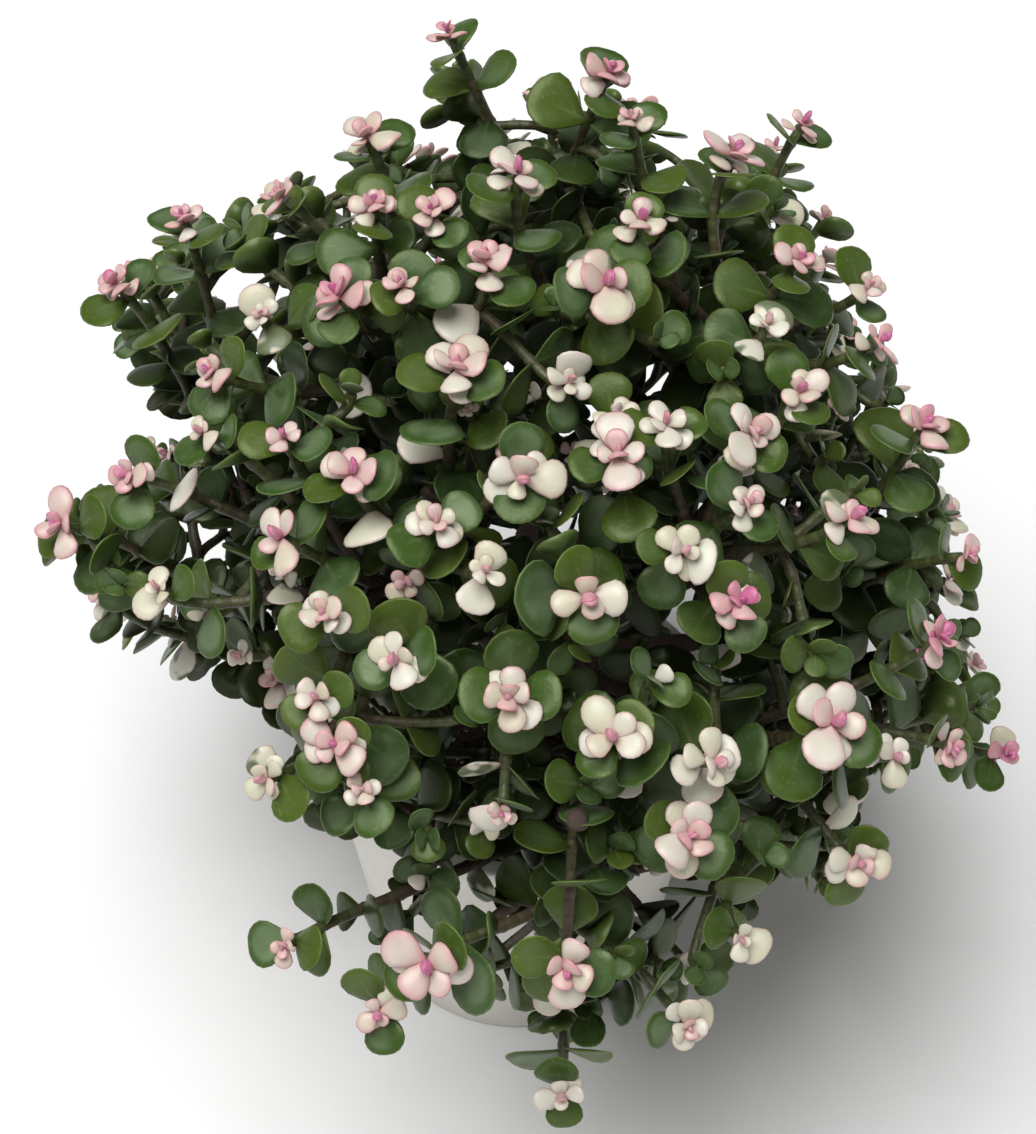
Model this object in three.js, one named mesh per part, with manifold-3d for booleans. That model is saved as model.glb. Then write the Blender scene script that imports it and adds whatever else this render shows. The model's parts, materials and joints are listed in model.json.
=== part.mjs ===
// A variegated elephant bush in a plain round pot, in millimetres, +Z up.
// The origin is the middle of the pot's underside. -Y is the side that is seen most.
// One woody trunk forks into limbs. Each limb carries a leafy branch, whose shoots end in a rosette
// of cream and pink leaves over pairs of round green ones, each pair set across the one below it.
import * as THREE from "three";
import { mergeVertices } from "three/addons/utils/BufferGeometryUtils.js";
import Module from "manifold-3d";

const wasm = await Module();
wasm.setup();

// Driving dimensions
const GAP = 0.3;
const POT = {
  height: 92, rimRadius: 56, baseRadius: 41, wall: 3, floor: 4, lip: 2.4, lipHeight: 12, lipSlope: 1,
  facets: 24,
};
const DRAIN = { count: 4, radius: 4, ring: 23, sides: 10 };
const SOIL = { top: 82, crown: 3, shoulder: 0.6, shoulderRise: 0.8 };
const TRUNK = {
  radius: 7, topRadius: 4.6, root: 52, top: 119, forkLow: 97, forkHigh: 115, sides: 9, steps: 2,
};
const CROWN = { z: 152, halfWidth: 135, halfHeight: 147, backDepth: 138, rise: 137, heartDrop: 26 };
const LIMBS = { count: 13, mostShoots: 9, settling: 8, woodyShare: 0.42, radius: 3.3, endRadius: 2.5 };
const LIMB_TUBE = { sides: 5, steps: 3 };
const LIMB_SPREAD = { high: 0.93, low: -0.42, turn: 0.5 };
const SHOOT = {
  mainRadius: 2.3, sideRadius: 1.7, endRadius: 1.2, nodeHeight: 2, forkDepth: 3.4, longestStep: 34,
};
const ROSETTE = { outer: 9.2, inner: 7.2, slim: 0.88, height: 2.6, neck: 2.2, neckRadius: 1.05, notch: 1.5 };
const PETAL = { thickness: 1.2, outerSpread: 1.25, innerSpread: 0.98, smallest: 0.45, step: 0.1 };
const PETAL_VARIES = { turn: 0.16, spread: 0.3, length: 0.2 };
const GREEN = {
  length: 14.5, slim: 0.92, thickness: 1.5, fullest: 0.62, light: 0.45, bend: 0.04, bendRange: 0.1,
};
// Green pairs from the tip down: how far back each stands, its share of the full length, and how far
// its leaves lean out from the stem, in radians
const PAIRS = [
  { back: 5.6, grown: 0.86, spread: 1.15 },
  { back: 16.5, grown: 1.06, spread: 1.3 },
  { back: 29, grown: 1.08, spread: 1.4 },
];
const SMALL_TIP = 0.71; // a rosette smaller than this has one green pair
const LONG_EVERY = 5; // one shoot in so many keeps the third pair
const DROOP_BELOW = 82; // a tip lower than this hangs over the pot's rim
const CLEARANCE = { leaf: 0.7, pot: 2 };
const ROSETTE_NODES = 44;
const SEED = 7000;
const TIP_SEED = 35000;

// The photograph: its middle and scale, the height it was taken from, and how far away
const VIEW = { x: 518, y: 567, pixelsPerMm: 3.7, elevation: 45, distance: 820 };

// Tips of the shoots that the photograph shows: pixels across and down, the rosette's size, and for one
// that sits behind a larger one, how many millimetres deeper it lies
const SEEN_TIPS = [
  [450, 36, 0.7], [608, 76, 0.95], [632, 122, 0.7], [802, 126, 0.75], [732, 157, 1],
  [368, 140, 1], [517, 176, 0.9], [284, 197, 0.7], [184, 221, 0.75], [432, 212, 0.75],
  [374, 206, 0.8], [640, 222, 0.85], [486, 265, 1.05], [797, 262, 0.95], [604, 284, 1.25],
  [118, 286, 0.85], [341, 298, 1.1], [404, 287, 0.7], [456, 371, 1.15], [216, 374, 0.95],
  [877, 343, 0.75], [868, 287, 0.7], [800, 392, 0.9], [922, 430, 1.1], [615, 416, 0.8, 14],
  [666, 426, 0.85], [748, 434, 1.1], [520, 478, 1.1], [617, 457, 1.1], [285, 438, 0.7],
  [130, 476, 0.75], [64, 526, 1], [353, 474, 1.05], [284, 538, 1.05], [437, 524, 0.9],
  [469, 411, 0.75, 15], [848, 520, 1], [746, 504, 0.75], [681, 552, 0.85], [587, 596, 1.3],
  [738, 604, 0.95], [325, 614, 0.9], [397, 659, 0.95], [510, 698, 1.1], [614, 738, 1.2],
  [712, 762, 1], [687, 836, 1.2], [832, 724, 1.35], [893, 757, 0.85], [336, 745, 1],
  [316, 698, 0.75], [938, 640, 0.95], [1004, 754, 0.6], [948, 746, 0.75], [964, 556, 0.7],
  [857, 862, 1], [429, 962, 1.3], [567, 966, 1.25], [378, 1012, 0.8], [286, 946, 0.6],
  [686, 1024, 0.9], [562, 1094, 0.9], [740, 938, 0.6], [262, 316, 0.6], [766, 326, 0.7],
  [484, 572, 0.65], [362, 790, 0.7], [204, 432, 0.7], [160, 590, 0.7], [268, 778, 0.8],
];
// Shoots on the far side and round the foot of the crown, on a golden spiral from high to low
const FAR_TIPS = {
  places: 80, high: 0.92, low: -0.54, turn: 0.21, facing: 0.2, room: 28, apart: 26, size: 0.765, spread: 0.27,
};
// The crown's edge in the photograph, in pixels from its top round to the right. Far shoots stay within it.
const SEEN_EDGE = [
  [455, 60], [520, 90], [610, 75], [700, 165], [800, 135], [825, 210], [855, 330], [905, 420], [950, 470],
  [950, 560], [985, 650], [985, 760], [865, 800], [870, 870], [815, 905], [750, 890], [660, 1020],
  [600, 1010], [560, 1080], [520, 1000], [420, 1010], [330, 950], [390, 860], [310, 810], [290, 690],
  [230, 650], [110, 600], [55, 535], [130, 470], [225, 400], [110, 330], [115, 285], [190, 225], [290, 190],
  [370, 150], [450, 165],
];
const DRAWN_IN = { share: 0.96, most: 30 };

// Vectors are plain arrays of three numbers
const add = (a, b, k = 1) => [a[0] + b[0] * k, a[1] + b[1] * k, a[2] + b[2] * k];
const sub = (a, b) => add(a, b, -1);
const dot = (a, b) => a[0] * b[0] + a[1] * b[1] + a[2] * b[2];
const cross = (a, b) => [a[1] * b[2] - a[2] * b[1], a[2] * b[0] - a[0] * b[2], a[0] * b[1] - a[1] * b[0]];
const size = (a) => Math.sqrt(dot(a, a));
const unit = (a) => a.map((x) => x / size(a));
const toward = (a, b) => unit(sub(b, a));
const squared = (a, heading) => unit(add(a, heading, -dot(a, heading)));
const ZERO = [0, 0, 0];
const UP = [0, 0, 1];
const ANY_ACROSS = unit([0.61, 0.48, 0.63]);

// The same draws each run, from a small generator with a stated seed
function draws(seed) {
  let state = seed >>> 0;
  return () => {
    state = (state + 0x6d2b79f5) >>> 0;
    let t = state;
    t = Math.imul(t ^ (t >>> 15), t | 1);
    t ^= t + Math.imul(t ^ (t >>> 7), t | 61);
    return ((t ^ (t >>> 14)) >>> 0) / 4294967296;
  };
}

// Directions spread evenly between two heights of a unit ball
const GOLDEN_TURN = Math.PI * (3 - Math.sqrt(5));
function spiral(count, { high, low, turn }) {
  return Array.from({ length: count }, (_, i) => {
    const z = high + ((low - high) * (i + 0.5)) / count;
    const flat = Math.sqrt(1 - z * z);
    return [flat * Math.cos(GOLDEN_TURN * i + turn), flat * Math.sin(GOLDEN_TURN * i + turn), z];
  });
}

// Crown: where each shoot ends. A seen tip lies where the photograph's line of sight meets the crown.
const LIFT = (VIEW.elevation * Math.PI) / 180;
const TOWARD_VIEW = [0, -Math.cos(LIFT), Math.sin(LIFT)];
const ABOVE_VIEW = [0, Math.sin(LIFT), Math.cos(LIFT)];
const HEART = [0, 0, CROWN.z - CROWN.heartDrop];
const DEPTH_ROUNDS = 4;
const CROWN_FILL = 0.96;
const CROWN_EDGE = 0.02;

function seenTip([x, y, scale, sunk = 0]) {
  const right = (x - VIEW.x) / VIEW.pixelsPerMm;
  const up = (VIEW.y - y) / VIEW.pixelsPerMm;
  let near = 0;
  let shrink = 1;
  for (let i = 0; i < DEPTH_ROUNDS; i++) {
    const out = ((right * shrink) / CROWN.halfWidth) ** 2 + ((up * shrink) / CROWN.halfHeight) ** 2;
    near = CROWN.halfHeight * Math.sqrt(Math.max(CROWN_EDGE, 1 - out)) * CROWN_FILL - sunk;
    shrink = 1 - near / VIEW.distance;
  }
  const level = [right * shrink, 0, CROWN.z];
  return { at: add(add(level, ABOVE_VIEW, up * shrink), TOWARD_VIEW, near), scale };
}

// Whether a place lies within the edge that the photograph shows
const CROWN_MIDDLE = [0, 0, CROWN.z];
function withinEdge(at) {
  const off = sub(at, CROWN_MIDDLE);
  const scale = VIEW.pixelsPerMm / (1 - dot(off, TOWARD_VIEW) / VIEW.distance);
  const [x, y] = [VIEW.x + off[0] * scale, VIEW.y - dot(off, ABOVE_VIEW) * scale];
  return SEEN_EDGE.reduce((inside, [ax, ay], i) => {
    const [bx, by] = SEEN_EDGE[(i + 1) % SEEN_EDGE.length];
    const crossed = ay > y !== by > y && x < ax + ((bx - ax) * (y - ay)) / (by - ay);
    return crossed ? !inside : inside;
  }, false);
}

// Moves a place inwards, square to the line of sight, until it lies within that edge
function drawnIn(at) {
  const near = dot(sub(at, CROWN_MIDDLE), TOWARD_VIEW);
  const behind = add(CROWN_MIDDLE, TOWARD_VIEW, near);
  let place = at;
  for (let i = 0; i < DRAWN_IN.most && !withinEdge(place); i++) {
    place = add(behind, sub(place, behind), DRAWN_IN.share);
  }
  return place;
}

function farTips(seen) {
  const found = [];
  spiral(FAR_TIPS.places, FAR_TIPS).forEach((out, i) => {
    const round = [out[0] * CROWN.halfWidth, out[1] * CROWN.backDepth, CROWN.z + out[2] * CROWN.rise];
    if (dot(out, TOWARD_VIEW) > FAR_TIPS.facing) return;
    const at = drawnIn(round);
    const taken = seen.some((tip) => size(sub(tip.at, at)) < FAR_TIPS.room)
      || found.some((tip) => size(sub(tip.at, at)) < FAR_TIPS.apart);
    if (!taken) found.push({ at, scale: FAR_TIPS.size + FAR_TIPS.spread * ((i * GOLDEN_TURN) % 1) });
  });
  return found;
}

// Which way a tip points: outwards and turned up to the light, or down where it hangs, and a little astray
const TURN_UP = 0.75;
const HANG_DOWN = -0.5;
const ASTRAY = 0.75;
function aimed(tip, number) {
  const out = toward(HEART, tip.at);
  const droops = tip.at[2] < DROOP_BELOW;
  const straight = add(out, UP, droops ? HANG_DOWN : TURN_UP * (1 - out[2]));
  const draw = draws(TIP_SEED + number);
  const astray = [draw() - 0.5, draw() - 0.5, draw() - 0.5];
  return { ...tip, out, droops, axis: unit(add(straight, astray, ASTRAY)) };
}
const seenTips = SEEN_TIPS.map(seenTip);
const tips = [...seenTips, ...farTips(seenTips)].map(aimed);

// Stem lines: each is a list of points on a curve from its foot to its tip
const LINE_STEPS = 24;
function stemLine(...corners) {
  const curve = new THREE.CubicBezierCurve3(...corners.map((p) => new THREE.Vector3(...p)));
  return curve.getPoints(LINE_STEPS).map((p) => p.toArray());
}
const lengthOf = (line) => line.slice(1).reduce((sum, p, i) => sum + size(sub(p, line[i])), 0);

// The place on a line that lies a distance back from its tip, and which way the stem heads there
function fromTip(line, distance) {
  let left = distance;
  for (let i = line.length - 1; i > 0; i--) {
    const step = size(sub(line[i], line[i - 1]));
    if (left <= step || i === 1) {
      const heading = toward(line[i - 1], line[i]);
      return { at: add(line[i], heading, -left), heading };
    }
    left -= step;
  }
}

// The limb's line rises out of the trunk and turns to its tip. A hanging one first clears the pot's rim.
const REACH = { rise: 0.5, start: 0.33, end: 0.33, overRim: 0.75, overRise: 0.55, hang: 0.5 };
function mainLine(tip, way) {
  const { high, low } = LIMB_SPREAD;
  const share = (way[2] - low) / (high - low);
  const foot = [0, 0, TRUNK.forkLow + (TRUNK.forkHigh - TRUNK.forkLow) * share];
  const reach = size(sub(tip.at, foot));
  if (tip.droops) {
    const flat = unit([tip.at[0], tip.at[1], 0]);
    const over = add(foot, add(flat, UP, REACH.overRise), POT.rimRadius * REACH.overRim);
    return stemLine(foot, over, add(tip.at, tip.axis, -reach * REACH.hang), tip.at);
  }
  const rise = unit(add(toward(foot, tip.at), UP, REACH.rise));
  const last = add(tip.at, tip.axis, -reach * REACH.end);
  return stemLine(foot, add(foot, rise, reach * REACH.start), last, tip.at);
}

const FORK = {
  follow: 0.6, start: 0.3, end: 0.38, byDistance: 0.6, byOrder: 0.4, first: 0.3, span: 0.6, near: 18, far: 6,
};
function sideLine(fork, tip) {
  const reach = size(sub(tip.at, fork.at));
  const leave = unit(add(toward(fork.at, tip.at), fork.heading, FORK.follow));
  const last = add(tip.at, tip.axis, -reach * FORK.end);
  return stemLine(fork.at, add(fork.at, leave, reach * FORK.start), last, tip.at);
}

// Limbs: directions that start on a spiral and settle among the tips, so each carries its share
function shareTips(ways) {
  const groups = ways.map((way) => ({ way, shoots: [] }));
  const byFit = tips.flatMap((tip) => groups.map((group) => ({ tip, group, fit: dot(group.way, tip.out) })));
  byFit.sort((a, b) => b.fit - a.fit);
  const taken = new Set();
  for (const { tip, group } of byFit) {
    if (taken.has(tip) || group.shoots.length >= LIMBS.mostShoots) continue;
    taken.add(tip);
    group.shoots.push({ tip, forks: [] });
  }
  return groups.filter((group) => group.shoots.length);
}

function growBranches() {
  let grown = shareTips(spiral(LIMBS.count, LIMB_SPREAD));
  for (let round = 0; round < LIMBS.settling; round++) {
    grown = shareTips(grown.map(({ shoots }) => unit(shoots.reduce((sum, s) => add(sum, s.tip.out), ZERO))));
  }
  for (const { way, shoots } of grown) {
    shoots.sort((a, b) => dot(b.tip.out, way) - dot(a.tip.out, way));
    const [main, ...sides] = shoots;
    main.line = mainLine(main.tip, way);
    main.base = lengthOf(main.line) * (1 - LIMBS.woodyShare);
    main.radius = SHOOT.mainRadius;
    sides.forEach((side, i) => {
      const apart = size(sub(side.tip.at, main.tip.at));
      const order = main.base * (FORK.first + (FORK.span * (i + 1)) / sides.length);
      const wanted = Math.max(apart * FORK.byDistance + order * FORK.byOrder, FORK.near);
      const back = Math.min(wanted, main.base - FORK.far);
      main.forks.push(back);
      side.forked = true;
      side.line = sideLine(fromTip(main.line, back), side.tip);
      side.base = lengthOf(side.line);
      side.radius = SHOOT.sideRadius;
    });
  }
  return grown;
}

// Leaves: each is held as its root on the stem's axis, three directions and its sizes
const LEAF_OUTLINE = [[0, 0], [0.36, -0.4], [0.78, -0.47], [1, 0], [0.78, 0.47], [0.36, 0.4]];
const LIGHT = unit([0, -0.35, 1]);
const LEAF_MIDDLE = 0.55;
const LEAF_ROOM = 0.62; // leaves further apart than this share of their lengths can't meet

function leafAt(stem, acrossTip, turn, spread, light, sizes) {
  const e = squared(acrossTip, stem.heading);
  const f = cross(stem.heading, e);
  const out = add(add(ZERO, e, Math.cos(turn)), f, Math.sin(turn));
  const along = unit(add(add(ZERO, out, Math.sin(spread)), stem.heading, Math.cos(spread)));
  const face = add(add(ZERO, stem.heading, Math.sin(spread)), out, -Math.cos(spread));
  const across = unit(cross(add(face, LIGHT, light), along));
  return { root: stem.at, along, across, up: cross(along, across), ...sizes };
}
const inLeaf = (leaf, x, y, z) => add(add(add(leaf.root, leaf.along, x), leaf.across, y), leaf.up, z);
const droop = (leaf, share) => -leaf.bend * leaf.length * share * share;
const outlineOf = (leaf) => LEAF_OUTLINE.map(
  ([x, y]) => inLeaf(leaf, x * leaf.length, y * leaf.width, droop(leaf, x)));
const middleOf = (leaf) => inLeaf(leaf, leaf.length * LEAF_MIDDLE, 0, leaf.thickness / 2);

// Clashes: whether points joined in a ring come within some room of a leaf
function meetsLeaf(leaf, points, room) {
  const middle = leaf.thickness / 2;
  const half = leaf.length / 2;
  const local = points.map((p) => {
    const d = sub(p, leaf.root);
    const x = dot(d, leaf.along);
    const share = Math.max(0, Math.min(x / leaf.length, 1));
    return [x, dot(d, leaf.across), dot(d, leaf.up) - droop(leaf, share) - middle];
  });
  const within = (x, y) => ((x - half) / (half + room)) ** 2 + (y / (leaf.width / 2 + room)) ** 2 < 1;
  return local.some((a, i) => {
    const b = local[(i + 1) % local.length];
    if (Math.abs(a[2]) < middle + room && within(a[0], a[1])) return true;
    const t = a[2] / (a[2] - b[2]);
    return a[2] * b[2] < 0 && within(a[0] + (b[0] - a[0]) * t, a[1] + (b[1] - a[1]) * t);
  });
}

const potSide = (z) => POT.baseRadius + ((POT.rimRadius - POT.baseRadius) * z) / POT.height;
function meetsPot([x, y, z]) {
  const out = Math.sqrt(x * x + y * y);
  const inMouth = out < POT.rimRadius - POT.wall - CLEARANCE.pot && z > SOIL.top + SOIL.crown + CLEARANCE.pot;
  return z < POT.height + CLEARANCE.pot && out < potSide(z) + POT.lip + CLEARANCE.pot && !inMouth;
}

const leaves = [];
const stems = [];
function clashes(leaf) {
  const points = outlineOf(leaf);
  const middle = middleOf(leaf);
  if ([...points, middle].some(meetsPot)) return true;
  const byLeaf = leaves.some((other) => other.pair !== leaf.pair
    && size(sub(other.middle, middle)) < (other.length + leaf.length) * LEAF_ROOM
    && (meetsLeaf(other, points, CLEARANCE.leaf) || meetsLeaf(leaf, other.points, CLEARANCE.leaf)));
  return byLeaf || stems.some((stem) => stem.owner !== leaf.owner
    && size(sub(stem.ends[0], middle)) < stem.reach + leaf.length
    && meetsLeaf(leaf, stem.ends, CLEARANCE.leaf + stem.radius));
}
const place = (leaf) => leaves.push({ ...leaf, points: outlineOf(leaf), middle: middleOf(leaf) });

function addStems(line, radius, owner, distances) {
  const places = distances.map((distance) => fromTip(line, distance).at);
  places.slice(1).forEach((end, i) => {
    stems.push({ ends: [places[i], end], radius, reach: size(sub(end, places[i])), owner });
  });
}

// Where a shoot's rings lie, as distances back from its tip: its foot, its forks and leaf pairs, and
// the bends between them
const PAIR_TO_FOOT = 7;
const SHOOT_LEAN = [0.31, 0.22, 0.92];
function ringsOf(shoot) {
  const foot = shoot.forked ? shoot.base - SHOOT.forkDepth : shoot.base - GAP / 2;
  const isClear = (fork) => shoot.pairs.every(({ back }) => Math.abs(back - fork) > SHOOT.nodeHeight);
  const clear = shoot.forks.filter(isClear);
  const rings = [foot];
  for (const back of [...clear, ...shoot.pairs.map((pair) => pair.back)].sort((a, b) => b - a)) {
    const from = rings[rings.length - 1];
    const steps = Math.ceil((from - back) / SHOOT.longestStep);
    for (let k = 1; k <= steps; k++) rings.push(from + ((back - from) * k) / steps);
  }
  return rings;
}
function prepare(shoot, number) {
  shoot.number = number;
  shoot.draw = draws(SEED + number);
  shoot.across = unit(cross(shoot.tip.axis, SHOOT_LEAN));
  shoot.turn = shoot.draw() * Math.PI;
  shoot.petals = [0, 1, 2, 3].map(() => [shoot.draw() - 0.5, shoot.draw() - 0.5, shoot.draw() - 0.5]);
  const count = shoot.tip.scale < SMALL_TIP ? 1 : number % LONG_EVERY ? 2 : 3;
  shoot.pairs = PAIRS.slice(0, count).filter(({ back }) => back < shoot.base - PAIR_TO_FOOT);
  shoot.rings = ringsOf(shoot);
  addStems(shoot.line, shoot.radius, number, [shoot.base, ...shoot.rings, ROSETTE.neck]);
}

// The four cream leaves of a rosette, an upright pair inside a flatter one
function petalsOf(shoot, scale) {
  const end = fromTip(shoot.line, 0);
  return shoot.petals.map(([turned, spreadMore, longer], k) => {
    const length = (k % 2 ? ROSETTE.inner : ROSETTE.outer) * scale * (1 + longer * PETAL_VARIES.length);
    const spread = (k % 2 ? PETAL.innerSpread : PETAL.outerSpread) + spreadMore * PETAL_VARIES.spread;
    const turn = shoot.turn + (k * Math.PI) / 2 + turned * PETAL_VARIES.turn;
    const sizes = { length, width: length * ROSETTE.slim, thickness: PETAL.thickness, bend: 0 };
    const owned = { owner: shoot.number, pair: "rosette " + shoot.number };
    return leafAt(end, shoot.across, turn, spread, 0, { ...sizes, ...owned });
  });
}
function placeRosette(shoot) {
  shoot.rosette = shoot.tip.scale;
  while (shoot.rosette > PETAL.smallest && petalsOf(shoot, shoot.rosette).some(clashes)) {
    shoot.rosette -= PETAL.step;
  }
  petalsOf(shoot, shoot.rosette).forEach(place);
}

// What a green leaf may do to find room: turn round the stem, lean, and be smaller
const TRIES = [
  [0, 0, 1], [0, -0.2, 1], [0.25, 0, 1], [-0.25, 0, 1], [0, 0.2, 1],
  [0.2, -0.3, 0.92], [-0.2, -0.3, 0.92], [0.45, 0, 0.88], [-0.45, 0, 0.88], [0, -0.5, 0.85],
  [0, 0, 0.76], [0.3, -0.45, 0.74], [-0.3, -0.45, 0.74], [0, 0.35, 0.7], [0, -0.7, 0.7],
];
const GROWN = { least: 0.86, range: 0.28, withRosette: 0.25 };
const WOBBLE = 0.3;
const SLIM = { least: 0.9, range: 0.2 };
function placePair(shoot, pair, level) {
  const stem = fromTip(shoot.line, pair.back);
  for (const side of [0, 1]) {
    const grown = GROWN.least + GROWN.range * shoot.draw();
    const full = GREEN.length * grown * pair.grown * (1 + GROWN.withRosette * (shoot.tip.scale - 1));
    const wobble = (shoot.draw() - 0.5) * WOBBLE;
    const bend = GREEN.bend + GREEN.bendRange * shoot.draw();
    const slim = GREEN.slim * (SLIM.least + SLIM.range * shoot.draw());
    const turn = shoot.turn + ((level + 1) * Math.PI) / 2 + side * Math.PI + wobble;
    const owned = { owner: shoot.number, pair: "pair " + shoot.number + " " + level, back: pair.back };
    const options = TRIES.map(([round, lean, share]) => leafAt(
      stem, shoot.across, turn + round, pair.spread + wobble + lean, GREEN.light,
      { length: full * share, width: full * share * slim, thickness: GREEN.thickness, bend, ...owned },
    ));
    const free = options.find((leaf) => !clashes(leaf));
    if (free) place({ ...free, side: (level + side * 2) % 4 });
  }
}

// Stems stand first, then the rosettes, then the green pairs from the tips down
const branches = growBranches();
const shoots = branches.flatMap((branch) => branch.shoots);
shoots.forEach(prepare);
const limbFrom = (main) => lengthOf(main.line);
const limbTo = (main) => main.base + GAP / 2;
for (const { shoots: [main] } of branches) {
  const distances = Array.from({ length: LIMB_TUBE.steps + 1 },
    (_, k) => limbFrom(main) + ((limbTo(main) - limbFrom(main)) * k) / LIMB_TUBE.steps);
  addStems(main.line, LIMBS.radius, "wood", distances);
}
shoots.forEach(placeRosette);
PAIRS.forEach((pair, level) => {
  for (const shoot of shoots.filter(({ pairs }) => pairs.includes(pair))) placePair(shoot, pair, level);
});

// Solids: a geometry as a closed body, and a body's largest piece as a named mesh
const WELD = 1e-4;
function asSolid(geometry) {
  geometry.deleteAttribute("normal");
  geometry.deleteAttribute("uv");
  const merged = mergeVertices(geometry, WELD);
  return new wasm.Manifold(new wasm.Mesh({
    numProp: 3,
    vertProperties: new Float32Array(merged.attributes.position.array),
    triVerts: new Uint32Array(merged.index.array),
  }));
}
function solidFrom(points, faces) {
  const geometry = new THREE.BufferGeometry();
  geometry.setAttribute("position", new THREE.Float32BufferAttribute(points.flat(), 3));
  geometry.setIndex(faces.flat());
  return asSolid(geometry);
}
function asMesh(solid, name, material) {
  const whole = solid.decompose().reduce((a, b) => (b.volume() > a.volume() ? b : a)).getMesh();
  const geometry = new THREE.BufferGeometry();
  geometry.setAttribute("position", new THREE.BufferAttribute(whole.vertProperties, 3));
  geometry.setIndex(new THREE.BufferAttribute(whole.triVerts, 1));
  geometry.computeVertexNormals();
  const mesh = new THREE.Mesh(geometry, material);
  mesh.name = name;
  return mesh;
}

// A ring of points round a line, and the walls between two rings
function addRing(points, line, distance, radius, sides, across, turn) {
  const { at, heading } = fromTip(line, distance);
  const e = squared(across, heading);
  const f = cross(heading, e);
  for (let i = 0; i < sides; i++) {
    const angle = turn + (2 * Math.PI * (i + 0.5)) / sides;
    points.push(add(add(at, e, radius * Math.cos(angle)), f, radius * Math.sin(angle)));
  }
  return points.length - sides;
}
const wall = (a, b, c, d) => [[a, b, c], [a, c, d]];
const fan = (corners) => corners.slice(2).map((corner, i) => [corners[0], corners[i + 1], corner]);
const ringCorners = (first, sides) => Array.from({ length: sides }, (_, i) => first + i);

// A tapered limb or trunk with a flat end at each end
function tubeSolid(line, [from, to], [fromRadius, toRadius], { sides, steps }) {
  const points = [];
  const faces = [];
  for (let k = 0; k <= steps; k++) {
    const share = k / steps;
    const radius = fromRadius + (toRadius - fromRadius) * share;
    const upper = addRing(points, line, from + (to - from) * share, radius, sides, ANY_ACROSS, 0);
    const lower = upper - sides;
    for (let i = 0; i < sides && k > 0; i++) {
      const j = (i + 1) % sides;
      faces.push(...wall(lower + i, lower + j, upper + j, upper + i));
    }
  }
  faces.push(...fan(ringCorners(0, sides).reverse()), ...fan(ringCorners(steps * sides, sides)));
  return solidFrom(points, faces);
}

// A green leaf grown out of one side of a stem, whose corners are a and b below, c and d above
function addLeaf(points, faces, leaf, [a, b, c, d]) {
  const edge = outlineOf(leaf).slice(1).map((point) => points.push(point) - 1);
  const [left, leftEnd, tip, rightEnd, right] = edge;
  const { length, thickness } = leaf;
  const crest = inLeaf(leaf, length * GREEN.fullest, 0, thickness + droop(leaf, GREEN.fullest));
  const top = points.push(crest) - 1;
  faces.push(...wall(a, b, right, left), ...wall(left, right, rightEnd, leftEnd), [leftEnd, rightEnd, tip]);
  faces.push([b, c, right], [d, a, left]);
  const rim = [c, d, left, leftEnd, tip, rightEnd, right];
  rim.forEach((from, i) => faces.push([from, rim[(i + 1) % rim.length], top]));
}

// A rosette: four cupped leaves round one raised bud, grown out of the four corners of a square neck
const FULL_EDGE = [[0.6, -0.48], [1, 0], [0.6, 0.48]];
const PLAIN_EDGE = [[0.82, -0.4], [0.82, 0.4]];
function addRosette(points, faces, shoot, neck, edge) {
  const { at, heading } = fromTip(shoot.line, 0);
  const rim = [];
  petalsOf(shoot, shoot.rosette).forEach((petal) => {
    const notch = squared(sub(petal.along, petal.across), heading);
    rim.push(points.push(add(at, notch, ROSETTE.notch)) - 1);
    edge.forEach(([x, y]) => rim.push(points.push(inLeaf(petal, petal.length * x, petal.width * y, 0)) - 1));
  });
  const bud = points.push(add(at, heading, ROSETTE.height * shoot.rosette)) - 1;
  rim.forEach((from, i) => faces.push([bud, from, rim[(i + 1) % rim.length]]));
  const each = edge.length + 1;
  const half = Math.ceil(each / 2);
  for (let k = 0; k < 4; k++) {
    const a = neck + ((k + 3) % 4);
    const b = neck + k;
    const r = (i) => rim[(k * each + i) % rim.length];
    for (let i = 0; i < half; i++) faces.push([a, r(i + 1), r(i)]);
    faces.push([a, b, r(half)]);
    for (let i = half; i < each; i++) faces.push([b, r(i + 1), r(i)]);
  }
}
function rosetteSolid(shoot) {
  const points = [];
  const faces = [];
  const neck = addRing(points, shoot.line, ROSETTE.neck, ROSETTE.neckRadius, 4, shoot.across, shoot.turn);
  addRosette(points, faces, shoot, neck, FULL_EDGE);
  faces.push(...fan(ringCorners(neck, 4).reverse()));
  return solidFrom(points, faces);
}

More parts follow.
